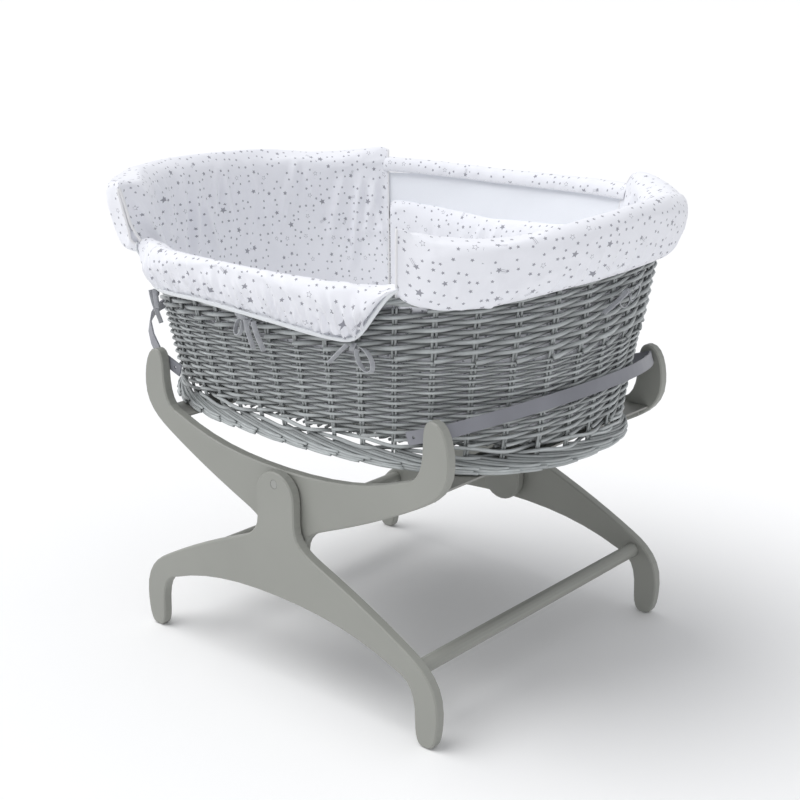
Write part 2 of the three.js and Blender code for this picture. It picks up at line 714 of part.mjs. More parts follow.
function knot({ angle, knotZ }) {
  const { place, along, out } = wallFrame(angle, TIE_OFFSET, knotZ);
  const { width, height, depth } = TIE_KNOT;
  const outline = [[-0.5, -0.2], [-0.1, -0.12], [0.1, -0.12], [0.5, -0.5], [0.5, 0.4], [0.1, 0.2],
    [-0.1, 0.2], [-0.5, 0.5]];
  const rings = [0, depth].map((away) => outline.map(([u, v]) => place.clone()
    .addScaledVector(along, u * width)
    .addScaledVector(out, away)
    .add(new THREE.Vector3(0, 0, v * height))));
  return loft(rings, outline.map(([u, v]) => new THREE.Vector2(u, v)));
}

// A ribbon end that hangs outside the wall over its knot: a flat section of eight sides drawn
// along a straight line.
function tail({ angle, knotZ }, { shift, drop, drift }) {
  const top = knotZ + TAIL_RISE;
  const { along, out, place: start } = wallFrame(angle, TAIL_OFFSET, top);
  const { place: end } = wallFrame(angle, TAIL_OFFSET, top - drop);
  start.addScaledVector(along, shift);
  end.addScaledVector(along, shift + drift);
  const section = new THREE.Shape();
  section.absellipse(0, 0, RIBBON_WIDTH / 2, RIBBON_THICK / 2, 0, 2 * Math.PI);
  const strip = new THREE.ExtrudeGeometry(section, {
    depth: start.distanceTo(end),
    curveSegments: 8,
    bevelEnabled: false,
  });
  const down = end.clone().sub(start).normalize();
  const across = new THREE.Vector3().crossVectors(out, down).normalize();
  const face = new THREE.Vector3().crossVectors(down, across);
  strip.applyMatrix4(new THREE.Matrix4().makeBasis(across, face, down));
  return strip.translate(...start.toArray());
}

function addTies() {
  for (const tie of TIES) {
    const spot = { ...tie, angle: THREE.MathUtils.degToRad(tie.angle) };
    add(tie.name, knot(spot), ribbon());
    tie.tails.forEach((end, i) => add(`${tie.name}_tail_${i + 1}`, tail(spot, end), ribbon()));
  }
}

// ---------------------------------------------------------------- build

addBoards();
addPivots();
addStretchers();
addSlats();
addBands();
addBassinet();
addLiner();
addTies();

export default cradle;
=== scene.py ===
"""Looks of the baby cradle: a grey willow bassinet with a padded, star-printed liner, in a tilting
painted wooden stand.

Everything is in metres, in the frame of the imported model: +Z up, +X along the bassinet towards its
foot end, -Y the side whose liner flap is folded down, and the floor at Z = 0.
"""

import math

import bpy
import numpy as np
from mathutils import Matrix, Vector


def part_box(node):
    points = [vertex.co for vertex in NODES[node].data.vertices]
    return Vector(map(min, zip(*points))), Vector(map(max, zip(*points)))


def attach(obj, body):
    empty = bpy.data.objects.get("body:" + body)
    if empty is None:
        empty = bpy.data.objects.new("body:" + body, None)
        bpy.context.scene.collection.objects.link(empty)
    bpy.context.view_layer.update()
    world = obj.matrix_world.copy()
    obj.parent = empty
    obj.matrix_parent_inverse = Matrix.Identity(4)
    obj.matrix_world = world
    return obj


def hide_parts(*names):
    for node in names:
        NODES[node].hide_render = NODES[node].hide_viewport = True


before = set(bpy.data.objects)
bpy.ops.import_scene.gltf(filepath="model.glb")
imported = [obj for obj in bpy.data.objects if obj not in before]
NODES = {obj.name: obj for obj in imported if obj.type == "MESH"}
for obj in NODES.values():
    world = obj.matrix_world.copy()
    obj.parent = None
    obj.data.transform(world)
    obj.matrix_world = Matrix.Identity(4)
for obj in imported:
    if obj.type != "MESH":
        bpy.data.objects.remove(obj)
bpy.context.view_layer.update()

RNG = np.random.default_rng(7)
UP = np.array([0.0, 0.0, 1.0])

# ---------------------------------------------------------------- camera, light and floor

CAMERA_AT = (1.3015, -1.458, 0.95)
CAMERA_HEADING = 41.4  # degrees from +Y towards -X
CAMERA_DROP = 16.93  # degrees below the horizon
CAMERA_LENS = 59.9  # mm, on a 36 mm sensor
WORLD_LIGHT = 0.62
WORLD_TINT = (0.965, 0.975, 1.0)
SUN_LIGHT = 1.8
SUN_SPREAD = 48  # degrees
SUN_FROM = (-0.62, -0.50, 1.50)
FLOOR_SIZE = 600
FLOOR_AT = (0, 0, -0.0005)  # just under the feet


def make_camera():
    data = bpy.data.cameras.new("camera")
    data.lens = CAMERA_LENS
    data.sensor_width = 36
    camera = bpy.data.objects.new("camera", data)
    bpy.context.scene.collection.objects.link(camera)
    camera.location = CAMERA_AT
    camera.rotation_euler = (math.radians(90 - CAMERA_DROP), 0, math.radians(CAMERA_HEADING))
    bpy.context.scene.camera = camera


def aim_at(place, target):
    return (Vector(target) - Vector(place)).to_track_quat("-Z", "Y").to_euler()


def make_light():
    """Soft daylight from above and from the camera's left, over an even white surround."""
    bpy.context.scene.view_settings.view_transform = "Standard"
    world = bpy.data.worlds.new("studio")
    bpy.context.scene.world = world
    world.use_nodes = True
    background = world.node_tree.nodes["Background"]
    background.inputs["Color"].default_value = (*WORLD_TINT, 1)
    background.inputs["Strength"].default_value = WORLD_LIGHT
    data = bpy.data.lights.new("daylight", "SUN")
    data.energy = SUN_LIGHT
    data.angle = math.radians(SUN_SPREAD)
    sun = bpy.data.objects.new("daylight", data)
    bpy.context.scene.collection.objects.link(sun)
    sun.rotation_euler = aim_at(SUN_FROM, (0, 0, 0))


def make_floor():
    bpy.ops.mesh.primitive_plane_add(size=FLOOR_SIZE, location=FLOOR_AT)
    floor = bpy.context.object
    floor.name = "floor"
    surface = new_material("floor")
    set_base(surface, (0.95, 0.95, 0.95), 0.7)
    floor.data.materials.append(surface)


# ---------------------------------------------------------------- material helpers


def srgb(r, g, b):
    """Linear colour from 8-bit screen values."""
    return tuple(((c / 255 + 0.055) / 1.055) ** 2.4 if c > 10 else c / 255 / 12.92 for c in (r, g, b))


def new_material(name):
    material = bpy.data.materials.new(name)
    material.use_nodes = True
    return material


def principled(material):
    return material.node_tree.nodes["Principled BSDF"]


def set_base(material, colour, roughness, metallic=0.0):
    shader = principled(material)
    shader.inputs["Base Color"].default_value = (*colour, 1)
    shader.inputs["Roughness"].default_value = roughness
    shader.inputs["Metallic"].default_value = metallic


class Nodes:
    """Short ways to add shader nodes to a material."""

    def __init__(self, material):
        self.tree = material.node_tree
        self.shader = principled(material)

    def add(self, kind, **settings):
        node = self.tree.nodes.new(kind)
        for key, value in settings.items():
            setattr(node, key, value)
        return node

    def join(self, source, target):
        self.tree.links.new(source, target)

    def drive(self, name, source):
        self.join(source, self.shader.inputs[name])

    def feed(self, socket, value):
        if isinstance(value, bpy.types.NodeSocket):
            self.join(value, socket)
        else:
            socket.default_value = value

    def math(self, operation, a, b=0.0):
        node = self.add("ShaderNodeMath", operation=operation)
        for socket, value in zip(node.inputs, (a, b)):
            self.feed(socket, value)
        return node.outputs[0]

    def coordinates(self):
        return self.add("ShaderNodeTexCoord").outputs["Object"]

    def uv(self, name):
        return self.add("ShaderNodeUVMap", uv_map=name).outputs[0]

    def scaled(self, vector, scale):
        node = self.add("ShaderNodeMapping")
        self.join(vector, node.inputs["Vector"])
        node.inputs["Scale"].default_value = scale
        return node.outputs[0]

    def noise(self, vector, scale, detail=2.0, roughness=0.5):
        node = self.add("ShaderNodeTexNoise")
        self.join(vector, node.inputs["Vector"])
        node.inputs["Scale"].default_value = scale
        node.inputs["Detail"].default_value = detail
        node.inputs["Roughness"].default_value = roughness
        return node.outputs["Fac"]

    def ramp(self, value, stops):
        node = self.add("ShaderNodeValToRGB")
        self.feed(node.inputs[0], value)
        elements = node.color_ramp.elements
        while len(elements) < len(stops):
            elements.new(0.5)
        for element, (place, colour) in zip(elements, stops):
            element.position = place
            element.color = (*colour, 1)
        return node.outputs[0]

    def mix(self, share, a, b):
        node = self.add("ShaderNodeMix", data_type="RGBA")
        self.feed(node.inputs[0], share)
        self.feed(node.inputs[6], (*a, 1) if isinstance(a, tuple) else a)
        self.feed(node.inputs[7], (*b, 1) if isinstance(b, tuple) else b)
        return node.outputs[2]

    def range(self, value, low, high, to_low, to_high):
        node = self.add("ShaderNodeMapRange")
        for socket, number in zip(node.inputs, (value, low, high, to_low, to_high)):
            self.feed(socket, number)
        return node.outputs[0]

    def attribute(self, name):
        return self.add("ShaderNodeAttribute", attribute_name=name).outputs["Fac"]

    def bump(self, height, strength, distance, normal=None):
        node = self.add("ShaderNodeBump")
        self.feed(node.inputs["Height"], height)
        node.inputs["Strength"].default_value = strength
        node.inputs["Distance"].default_value = distance
        if normal is not None:
            self.join(normal, node.inputs["Normal"])
        return node.outputs[0]


# ---------------------------------------------------------------- materials


def painted_wood():
    """Satin warm grey paint over smooth board, with faint roller texture."""
    material = new_material("painted_wood")
    set_base(material, srgb(157, 158, 154), 0.5)
    n = Nodes(material)
    place = n.coordinates()
    cloud = n.noise(place, 6, 3)
    body = n.ramp(cloud, [(0.3, srgb(148, 149, 143)), (0.7, srgb(155, 156, 150))])
    pores = n.noise(n.scaled(place, (20, 60, 260)), 4, 3, 0.6)
    body = n.mix(n.range(pores, 0.62, 0.8, 0, 0.12), body, srgb(140, 141, 137))
    n.drive("Base Color", body)
    n.drive("Roughness", n.range(cloud, 0.3, 0.7, 0.44, 0.56))
    peel = n.noise(place, 900, 2)
    first = n.bump(peel, 0.06, 0.0004)
    n.drive("Normal", n.bump(pores, 0.1, 0.0004, first))
    return material


def painted_steel(name, colour):
    """Powder coat with a fine orange peel."""
    material = new_material(name)
    set_base(material, colour, 0.45)
    n = Nodes(material)
    place = n.coordinates()
    cloud = n.noise(place, 14, 2)
    tones = [(stop, tuple(c * share for c in colour)) for stop, share in ((0.3, 0.92), (0.7, 1.06))]
    n.drive("Base Color", n.ramp(cloud, tones))
    n.drive("Roughness", n.range(cloud, 0.3, 0.7, 0.38, 0.5))
    n.drive("Normal", n.bump(n.noise(place, 1600, 2), 0.15, 0.0003))
    return material


def bright_steel():
    material = new_material("bright_steel")
    set_base(material, (0.55, 0.56, 0.58), 0.3, 1.0)
    n = Nodes(material)
    brushed = n.noise(n.scaled(n.coordinates(), (300, 30, 300)), 6, 2)
    n.drive("Roughness", n.range(brushed, 0.3, 0.7, 0.22, 0.42))
    return material


def plain_plastic(name, colour):
    material = new_material(name)
    set_base(material, colour, 0.45)
    n = Nodes(material)
    n.drive("Normal", n.bump(n.noise(n.coordinates(), 1400, 2), 0.1, 0.0003))
    return material


def willow():
    """Grey-washed willow rods: each rod has its own tone, with grain along it and small knots. Painted shade
    darkens the sides of the rods that face down or into the weave, and the rods that lie deep in it."""
    material = new_material("willow")
    set_base(material, srgb(150, 152, 153), 0.42)
    n = Nodes(material)
    along = n.uv("rod")
    streaks = n.noise(n.scaled(along, (55, 5, 1)), 1, 4, 0.65)
    knots = n.noise(n.scaled(along, (14, 1.4, 1)), 1, 2)
    tones = [(0.0, srgb(168, 172, 172)), (0.5, srgb(190, 195, 195)), (1.0, srgb(208, 213, 213))]
    base = n.ramp(n.attribute("tone"), tones)
    base = n.mix(n.range(streaks, 0.4, 0.75, 0, 0.45), base, srgb(118, 120, 121))
    base = n.mix(n.range(knots, 0.68, 0.8, 0, 0.5), base, srgb(96, 96, 95))
    # Painted shade: the 'shade' attribute mixes the rods towards this near-black where they face down or into
    # the wall, and where little light reaches into the weave
    base = n.mix(n.attribute("shade"), srgb(34, 36, 38), base)
    n.drive("Base Color", base)
    n.drive("Roughness", n.range(streaks, 0.3, 0.8, 0.3, 0.5))
    n.drive("Normal", n.bump(streaks, 0.35, 0.0006))
    return material


STAR_NOTCH = 0.47  # radius of the notches between a star's points, for tips at radius 1
SMALL_SPACING = 0.0140
LARGE_SPACING = 0.0360
CLEAR_ROUND_LARGE = 0.0088  # no small star stands nearer than this to a large one


def star_size(n, local):
    """How large a five-pointed star round the origin of `local` has to be to reach this point."""
    parts = n.add("ShaderNodeSeparateXYZ")
    n.join(local, parts.inputs[0])
    x, y = parts.outputs[0], parts.outputs[1]
    radius = n.math("SQRT", n.math("ADD", n.math("MULTIPLY", x, x), n.math("MULTIPLY", y, y)))
    turn = n.math("ARCTAN2", y, x)
    tip_to_notch = math.tau / 10
    folded = n.math("PINGPONG", n.math("ADD", turn, math.tau), tip_to_notch)
    slope = (1 - STAR_NOTCH * math.cos(tip_to_notch)) / (STAR_NOTCH * math.sin(tip_to_notch))
    up = n.math("MULTIPLY", n.math("SINE", folded), slope)
    return n.math("MULTIPLY", radius, n.math("ADD", n.math("COSINE", folded), up))


def star_cells(n, flat, spacing, looseness):
    """Cells of a loose grid: the place in the nearest cell turned at random, the distance from
    the cell's middle, and three random numbers of the cell."""
    cells = n.add("ShaderNodeTexVoronoi", voronoi_dimensions="2D", feature="F1")
    n.join(flat, cells.inputs["Vector"])
    cells.inputs["Scale"].default_value = 1 / spacing
    cells.inputs["Randomness"].default_value = looseness
    apart = n.add("ShaderNodeVectorMath", operation="SUBTRACT")
    n.join(flat, apart.inputs[0])
    n.join(cells.outputs["Position"], apart.inputs[1])
    chance = n.add("ShaderNodeSeparateColor")
    n.join(cells.outputs["Color"], chance.inputs[0])
    turned = n.add("ShaderNodeVectorRotate", rotation_type="Z_AXIS")
    n.join(apart.outputs[0], turned.inputs["Vector"])
    n.join(n.math("MULTIPLY", chance.outputs[0], math.tau), turned.inputs["Angle"])
    length = n.add("ShaderNodeVectorMath", operation="LENGTH")
    n.join(apart.outputs[0], length.inputs[0])
    return turned.outputs[0], length.outputs["Value"], chance.outputs


def between(n, value, low, high):
    return n.math("MULTIPLY", n.math("GREATER_THAN", value, low), n.math("LESS_THAN", value, high))


def star_cotton(name, ground, ink):
    """Cotton printed in grey with scattered small stars and, further apart, larger solid stars,
    outlined stars and stars with a tail."""
    material = new_material(name)
    set_base(material, ground, 0.85)
    n = Nodes(material)
    flat = n.uv("cloth")
    local, _, chance = star_cells(n, flat, SMALL_SPACING, 0.62)
    small = n.math("LESS_THAN", star_size(n, local), n.range(chance[1], 0, 1, 0.0022, 0.0029))
    small = n.math("MULTIPLY", small, n.math("LESS_THAN", chance[2], 0.9))
    local, apart, chance = star_cells(n, flat, LARGE_SPACING, 0.75)
    kind, reach = chance[1], star_size(n, local)
    solid = n.math("LESS_THAN", reach, 0.0040)
    large = n.math("LESS_THAN", reach, 0.0056)
    outline = between(n, reach, 0.0031, 0.0042)
    parts = n.add("ShaderNodeSeparateXYZ")
    n.join(local, parts.inputs[0])
    behind, aside = parts.outputs[0], n.math("ABSOLUTE", parts.outputs[1])
    lanes = n.math("PINGPONG", n.math("ADD", parts.outputs[1], 0.00035), 0.0011)
    streak = n.math("LESS_THAN", lanes, 0.0006)
    tail = n.math("MULTIPLY", between(n, behind, 0.001, 0.0105), n.math("LESS_THAN", aside, 0.0022))
    tail = n.math("MULTIPLY", n.math("MULTIPLY", tail, streak), 0.55)
    shooting = n.math("MAXIMUM", solid, tail)
    big = n.math("MULTIPLY", solid, n.math("LESS_THAN", kind, 0.42))
    big = n.math("MAXIMUM", big, n.math("MULTIPLY", outline, between(n, kind, 0.42, 0.66)))
    big = n.math("MAXIMUM", big, n.math("MULTIPLY", shooting, between(n, kind, 0.66, 0.82)))
    big = n.math("MAXIMUM", big, n.math("MULTIPLY", large, n.math("GREATER_THAN", kind, 0.86)))
    clear = n.math("GREATER_THAN", apart, CLEAR_ROUND_LARGE)
    printed = n.math("MAXIMUM", big, n.math("MULTIPLY", small, clear))
    cloud = n.noise(flat, 18, 2)
    cloth = n.mix(n.range(cloud, 0.3, 0.7, 0, 0.5), ground, tuple(c * 0.965 for c in ground))
    n.drive("Base Color", n.mix(n.math("MULTIPLY", printed, 0.92), cloth, ink))
    add_weave(n, flat, 0.25)
    return material


def add_weave(n, flat, strength):
    """Fine plain weave and soft unevenness, as bump."""
    threads = n.noise(n.scaled(flat, (1400, 1400, 1)), 1, 1)
    uneven = n.noise(flat, 90, 3)
    soft = n.bump(uneven, 0.25, 0.002)
    n.drive("Normal", n.bump(threads, strength, 0.0004, soft))
    n.shader.inputs["Sheen Weight"].default_value = 0.25
    n.shader.inputs["Sheen Roughness"].default_value = 0.5


def plain_cloth(name, colour, uv="cloth"):
    material = new_material(name)
    set_base(material, colour, 0.85)
    n = Nodes(material)
    flat = n.uv(uv)
    cloud = n.noise(flat, 30, 3)
    cloth = n.mix(n.range(cloud, 0.3, 0.7, 0, 0.6), colour, tuple(c * 0.93 for c in colour))
    n.drive("Base Color", cloth)
    add_weave(n, flat, 0.3)
    return material


# ---------------------------------------------------------------- mesh helpers


def mesh_object(name, points, faces, material, uvs=None, uv_name="cloth", values=None):
    """A smooth mesh object. `uvs` holds one pair for each corner of each face, and `values`
    numbers for each point by name."""
    mesh = bpy.data.meshes.new(name)
    mesh.from_pydata(np.asarray(points).tolist(), [], [list(map(int, f)) for f in faces])
    if uvs is not None:
        layer = mesh.uv_layers.new(name=uv_name)
        layer.data.foreach_set("uv", np.asarray(uvs, np.float32).ravel())
    for key, numbers in (values or {}).items():
        attribute = mesh.attributes.new(key, "FLOAT", "POINT")
        attribute.data.foreach_set("value", np.asarray(numbers, np.float32).ravel())
    mesh.polygons.foreach_set("use_smooth", [True] * len(mesh.polygons))
    mesh.materials.append(material)
    thing = bpy.data.objects.new(name, mesh)
    bpy.context.scene.collection.objects.link(thing)
    return thing


def grid_quads(rows, columns, closed=True):
    """Quads between the neighbouring rows of a grid of points. The last column of a closed grid
    is joined to its first."""
    i, j = np.meshgrid(np.arange(rows - 1), np.arange(columns if closed else columns - 1), indexing="ij")
    k = (j + 1) % columns
    low, high = i * columns, (i + 1) * columns
    return np.stack([low + j, low + k, high + k, high + j], -1).reshape(-1, 4)


def grid_uvs(u, v):
    """Map of the quads of a grid whose rows lie at `u` and whose columns have their edges at `v`."""
    i, j = np.meshgrid(np.arange(len(u) - 1), np.arange(len(v) - 1), indexing="ij")
    corner_u = np.stack([u[i], u[i], u[i + 1], u[i + 1]], -1)
    corner_v = np.stack([v[j], v[j + 1], v[j + 1], v[j]], -1)
    return np.stack([corner_u, corner_v], -1).reshape(-1, 2)


def lengths_along(points):
    """Distance of each point of a line from its start, along the line."""
    return np.concatenate([[0], np.cumsum(np.linalg.norm(np.diff(points, axis=0), axis=1))])


def unit(vectors):
    return vectors / np.maximum(np.linalg.norm(vectors, axis=-1, keepdims=True), 1e-12)


class Rods:
    """Many tubes gathered into one mesh, each with its own tone and a map along and around it."""

    def __init__(self):
        self.points = []
        self.faces = []
        self.uvs = []
        self.tones = []
        self.shades = []
        self.count = 0

    def add(self, line, radius, outward, tone=0.5, sides=8, flat=1.0, light=1.0):
        """`flat` below 1 makes a ribbon that is wide across `outward`. `light` says how open
        to the light each point of the line is."""
        line = np.asarray(line, float)
        radius = np.broadcast_to(np.asarray(radius, float), len(line))
        outward = np.broadcast_to(np.asarray(outward, float), line.shape)
        tangent = unit(np.gradient(line, axis=0))
        normal = unit(outward - (outward * tangent).sum(1, keepdims=True) * tangent)
        side = np.cross(tangent, normal)
        turn = np.arange(sides) * math.tau / sides
        ring = (
            line[:, None]
            + radius[:, None, None] * flat * np.cos(turn)[None, :, None] * normal[:, None]
            + radius[:, None, None] * np.sin(turn)[None, :, None] * side[:, None]
        )
        along = lengths_along(line) + RNG.random() * 9
        total = len(line) * sides
        self.faces += (grid_quads(len(line), sides) + self.count).tolist()
        self.uvs.append(grid_uvs(along, np.arange(sides + 1) / sides))
        first = np.arange(sides)[::-1]
        last = np.arange(sides) + total - sides
        for cap, place in ((first, along[0]), (last, along[-1])):
            self.faces.append((cap + self.count).tolist())
            self.uvs.append(np.stack([np.full(sides, place), cap % sides / sides], -1))
        self.points.append(ring.reshape(-1, 3))
        self.tones.append(np.full(total, tone))
        # Painted shade for each point, kept as the 'shade' attribute: darker on the sides of a rod that face
        # down or into the wall, and where less light reaches it
        facing = (
            normal[:, None] * np.cos(turn)[None, :, None]
            + side[:, None] * np.sin(turn)[None, :, None]
        )
        open_side = 0.75 * (facing * outward[:, None]).sum(-1) + 0.6 * facing[..., 2]
        light = np.broadcast_to(np.asarray(light, float), len(line))[:, None]
        self.shades.append((light * np.clip(0.62 + 0.46 * open_side, 0.05, 1.0)).ravel())
        self.count += total

    def build(self, name, material):
        return mesh_object(
            name,
            np.concatenate(self.points),
            self.faces,
            material,
            np.concatenate(self.uvs),
            "rod",
            {"tone": np.concatenate(self.tones), "shade": np.concatenate(self.shades)},
        )


# ---------------------------------------------------------------- the bassinet's oval

OVAL_POWER = 2.5
WALL_FOOT = 0.352
WALL_HALF = (0.358, 0.237)  # half length and half width of the wall's outer face at its foot
FLARE = (0.142, 0.216)  # and their growth with height
LOW_RIM = 0.578  # top of the wall along the sides
HIGH_RIM = 0.650  # and at the ends
RIM_CLIMB = (0.258, 0.298)  # from this far along the bassinet to this far the rim climbs
HEAD_FLAP_SHIFT = 0.012  # and further along by this much at the head end of the folded flap
FOOT_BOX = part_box("foot_border")
LEVEL = 0.5  # height at which lengths round the oval are measured


def oval(angle, offset, z):
    """Points of the flared oval, `offset` outwards from the wall's outer face."""
    angle, offset, z = np.broadcast_arrays(np.asarray(angle, float), offset, z)
    half = [size + growth * (z - WALL_FOOT) + offset for size, growth in zip(WALL_HALF, FLARE)]
    c = np.abs(np.cos(angle) / half[0]) ** OVAL_POWER
    s = np.abs(np.sin(angle) / half[1]) ** OVAL_POWER
    r = (c + s) ** (-1 / OVAL_POWER)
    return np.stack([r * np.cos(angle), r * np.sin(angle), z], -1)


def outward(angle):
    angle = np.asarray(angle, float)
    along = oval(angle + 1e-3, 0.0, LEVEL) - oval(angle - 1e-3, 0.0, LEVEL)
    return unit(np.stack([along[..., 1], -along[..., 0], np.zeros(angle.shape)], -1))


def wall_axes(angle, offset, z):
    """A point of the oval, and the level directions there along the wall and out of it."""
    place = oval(angle, offset, z)
    along = unit(oval(angle + 0.01, offset, z) - oval(angle - 0.01, offset, z))
    return place, along, np.array([along[1], -along[0], 0.0])


FINE = np.linspace(0, math.tau, 2881)
FINE_LENGTH = lengths_along(oval(FINE, 0.0, LEVEL))
PERIMETER = FINE_LENGTH[-1]


def angle_at(length):
    """Angle of the point that lies this far round the oval from the foot end."""
    turns = np.floor(np.asarray(length, float) / PERIMETER)
    return np.interp(length - turns * PERIMETER, FINE_LENGTH, FINE) + turns * math.tau


def length_at(angle):
    turns = np.floor(np.asarray(angle, float) / math.tau)
    return np.interp(angle - turns * math.tau, FINE, FINE_LENGTH) + turns * PERIMETER


# ---------------------------------------------------------------- woven willow

STAKE_PITCH = 0.0525
STAKES = round(PERIMETER / STAKE_PITCH)
STAKE_R = 0.0019
WEAVE_MIDDLE = -0.0050  # offset of the stakes
STAKE_FOOT = 0.3615
STAKE_TOP = 0.62
WEAVE_STEP = 0.2  # distance between the points of a woven rod, in spacings of the stakes
WALE_LOW, WALE_HIGH = 0.3710, 0.3890
WALE_ROUNDS = 2
WALE_REACH = 9  # spacings of the stakes that one rod of the wale covers
BORDER_TOP = 0.3572  # height from which the rods of the foot border slant down
BORDER_BUNDLE = 3
ROPE_R = 0.0046
# Rands from the bottom up: where each starts and ends, and the height of a pair of its rods there
RANDS = [(0.3905, 0.506, 0.0118, 0.0078), (0.5085, 0.606, 0.0152, 0.0116)]


def stake_angle(k):
    return angle_at(np.asarray(k, float) * PERIMETER / STAKES)


def in_and_out(u):
    """1 in front of a stake at even u, -1 behind it at odd u, with nearly straight strokes."""
    return 0.87 * np.cos(math.pi * u) + 0.09 * np.cos(3 * math.pi * u)


def openness(offset):
    """How much light reaches a rod at this offset from the wall's outer face."""
    return 0.30 + 0.70 * np.clip((offset + 0.0088) / 0.0075, 0, 1)


def climb(low, high, pitch_low, pitch_high):
    """Heights of a rod of French randing and of a pair of its rods, at each of its points."""
    heights, pitches = [low], []
    while heights[-1] < high:
        share = (heights[-1] - low) / (high - low)
        pitch = pitch_low + (pitch_high - pitch_low) * share
        pitches.append(pitch)
        heights.append(heights[-1] + pitch / 2 * WEAVE_STEP)
    pitches.append(pitches[-1])
    return np.array(heights), np.array(pitches)


def runs(mask):
    """Index ranges over which the mask holds."""
    index = np.flatnonzero(mask)
    return np.split(index, np.flatnonzero(np.diff(index) > 1) + 1)


def make_rand(name, low, high, pitch_low, pitch_high, material):
    rods = Rods()
    heights, pitches = climb(low, high, pitch_low, pitch_high)
    u = np.arange(len(heights)) * WEAVE_STEP
    for k in range(STAKES):
        thick = pitches / 4 * 0.88 * RNG.uniform(0.92, 1.06)
        wander = 0.0004 * np.sin(u * RNG.uniform(0.5, 0.9) + RNG.uniform(0, 6)) * RNG.uniform(0, 1)
        angle = stake_angle(k + u)
        offset = WEAVE_MIDDLE + (thick + STAKE_R) * in_and_out(u)
        line = oval(angle, offset, heights + wander)
        tone = RNG.uniform(0.1, 0.9)
        for run in runs(heights < rim_height(angle) - 0.003):
            if len(run) > 5:
                rods.add(line[run], thick[run], outward(angle[run]), tone, light=openness(offset[run]))
    return rods.build(name, material)


def make_wale(material):
    """Three-rod wale: each rod passes in front of two stakes and behind one."""
    rods = Rods()
    height = (WALE_HIGH - WALE_LOW) / WALE_ROUNDS
    keys = np.array([0.9, 1.0, -1.0])
    drop = np.array([0.35, -0.35, 0.0])
    for level in range(WALE_ROUNDS):
        for k in range(0, STAKES, WALE_REACH // 3):
            u = np.arange(0, WALE_REACH + WEAVE_STEP, WEAVE_STEP)
            phase = u % 3
            base = np.floor(phase).astype(int)
            ease = 0.5 - 0.5 * np.cos((phase - base) * math.pi)
            front = keys[base % 3] * (1 - ease) + keys[(base + 1) % 3] * ease
            lift = drop[base % 3] * (1 - ease) + drop[(base + 1) % 3] * ease
            angle = stake_angle(k + level + u)
            z = WALE_LOW + height * (level + 0.5 + 0.9 * lift) + 0.0012 * (u / WALE_REACH - 0.5)
            offset = WEAVE_MIDDLE + 0.0048 * front
            radius = 0.00235 * RNG.uniform(0.94, 1.06)
            tone = RNG.uniform(0.1, 0.9)
            rods.add(oval(angle, offset, z), radius, outward(angle), tone, light=openness(offset))
    return rods.build("wale", material)


def rim_height(angle):
    spot = oval(angle, 0.0, LOW_RIM)
    x = np.abs(spot[..., 0]) - np.where((spot[..., 0] < 0) & (spot[..., 1] < 0), HEAD_FLAP_SHIFT, 0)
    t = np.clip((x - RIM_CLIMB[0]) / (RIM_CLIMB[1] - RIM_CLIMB[0]), 0, 1)
    return LOW_RIM + (HIGH_RIM - LOW_RIM) * t * t * (3 - 2 * t)


def make_stakes(material):
    rods = Rods()
    for k in range(STAKES):
        for side in (-1, 1):
            along = k * PERIMETER / STAKES + side * (STAKE_R + 0.0003)
            top = min(float(rim_height(stake_angle(k))), STAKE_TOP)
            z = np.linspace(STAKE_FOOT, top, 26)
            wobble = 0.0007 * np.sin(z * 90 + RNG.uniform(0, 6))
            angle = angle_at(along + wobble)
            line = oval(angle, WEAVE_MIDDLE, z)
            radius = STAKE_R * RNG.uniform(0.94, 1.08)
            rods.add(line, radius, outward(angle), RNG.uniform(0.4, 1.0), light=0.85)
    return rods.build("stakes", material)


def make_foot_border(material):
    """The stakes' ends, bent over in bundles that slant down and lie along the bottom edge."""
    rods = Rods()
    for k in range(STAKES):
        for i in range(BORDER_BUNDLE):
            lane = i - (BORDER_BUNDLE - 1) / 2
            reach = RNG.uniform(2.9, 3.35)
            u = np.linspace(RNG.uniform(0.0, 0.12), reach, 26)
            share = np.minimum(u / 2.7, 1)
            z = BORDER_TOP + 0.0150 * (1 - share) ** 1.5 - lane * 0.0047 * (1 - 0.2 * share)
            z = np.maximum(z, FOOT_BOX[0].z + 0.0026)
            offset = WEAVE_MIDDLE + 0.002 + 0.0125 * share**1.3 + lane * 0.0012
            angle = stake_angle(k + u)
            taper = np.interp(u / reach, [0, 0.8, 1.0], [1, 0.97, 0.86])
            radius = 0.0024 * taper * RNG.uniform(0.92, 1.06)
            tone, light = RNG.uniform(0.3, 1.0), 0.55 + 0.45 * share
            rods.add(oval(angle, offset, z), radius, outward(angle), tone, light=light)
    return rods.build("foot_border_rods", material)


def make_rim_rope(material):
    """Rolled border on the rim: rods laid round each other like rope."""
    rods = Rods()
    angle = np.linspace(0, math.tau, 721)
    middle = rim_height(angle) + 0.009
    for strand in range(4):
        twist = length_at(angle) / 0.05 * math.tau / 2 + strand * math.tau / 4
        offset = WEAVE_MIDDLE + 0.0005 + ROPE_R * 0.8 * np.cos(twist)
        z = middle + ROPE_R * 0.8 * np.sin(twist)
        rods.add(oval(angle, offset, z), 0.0034, outward(angle), RNG.uniform(0.2, 0.8), sides=6)
    return rods.build("rim_rope", material)


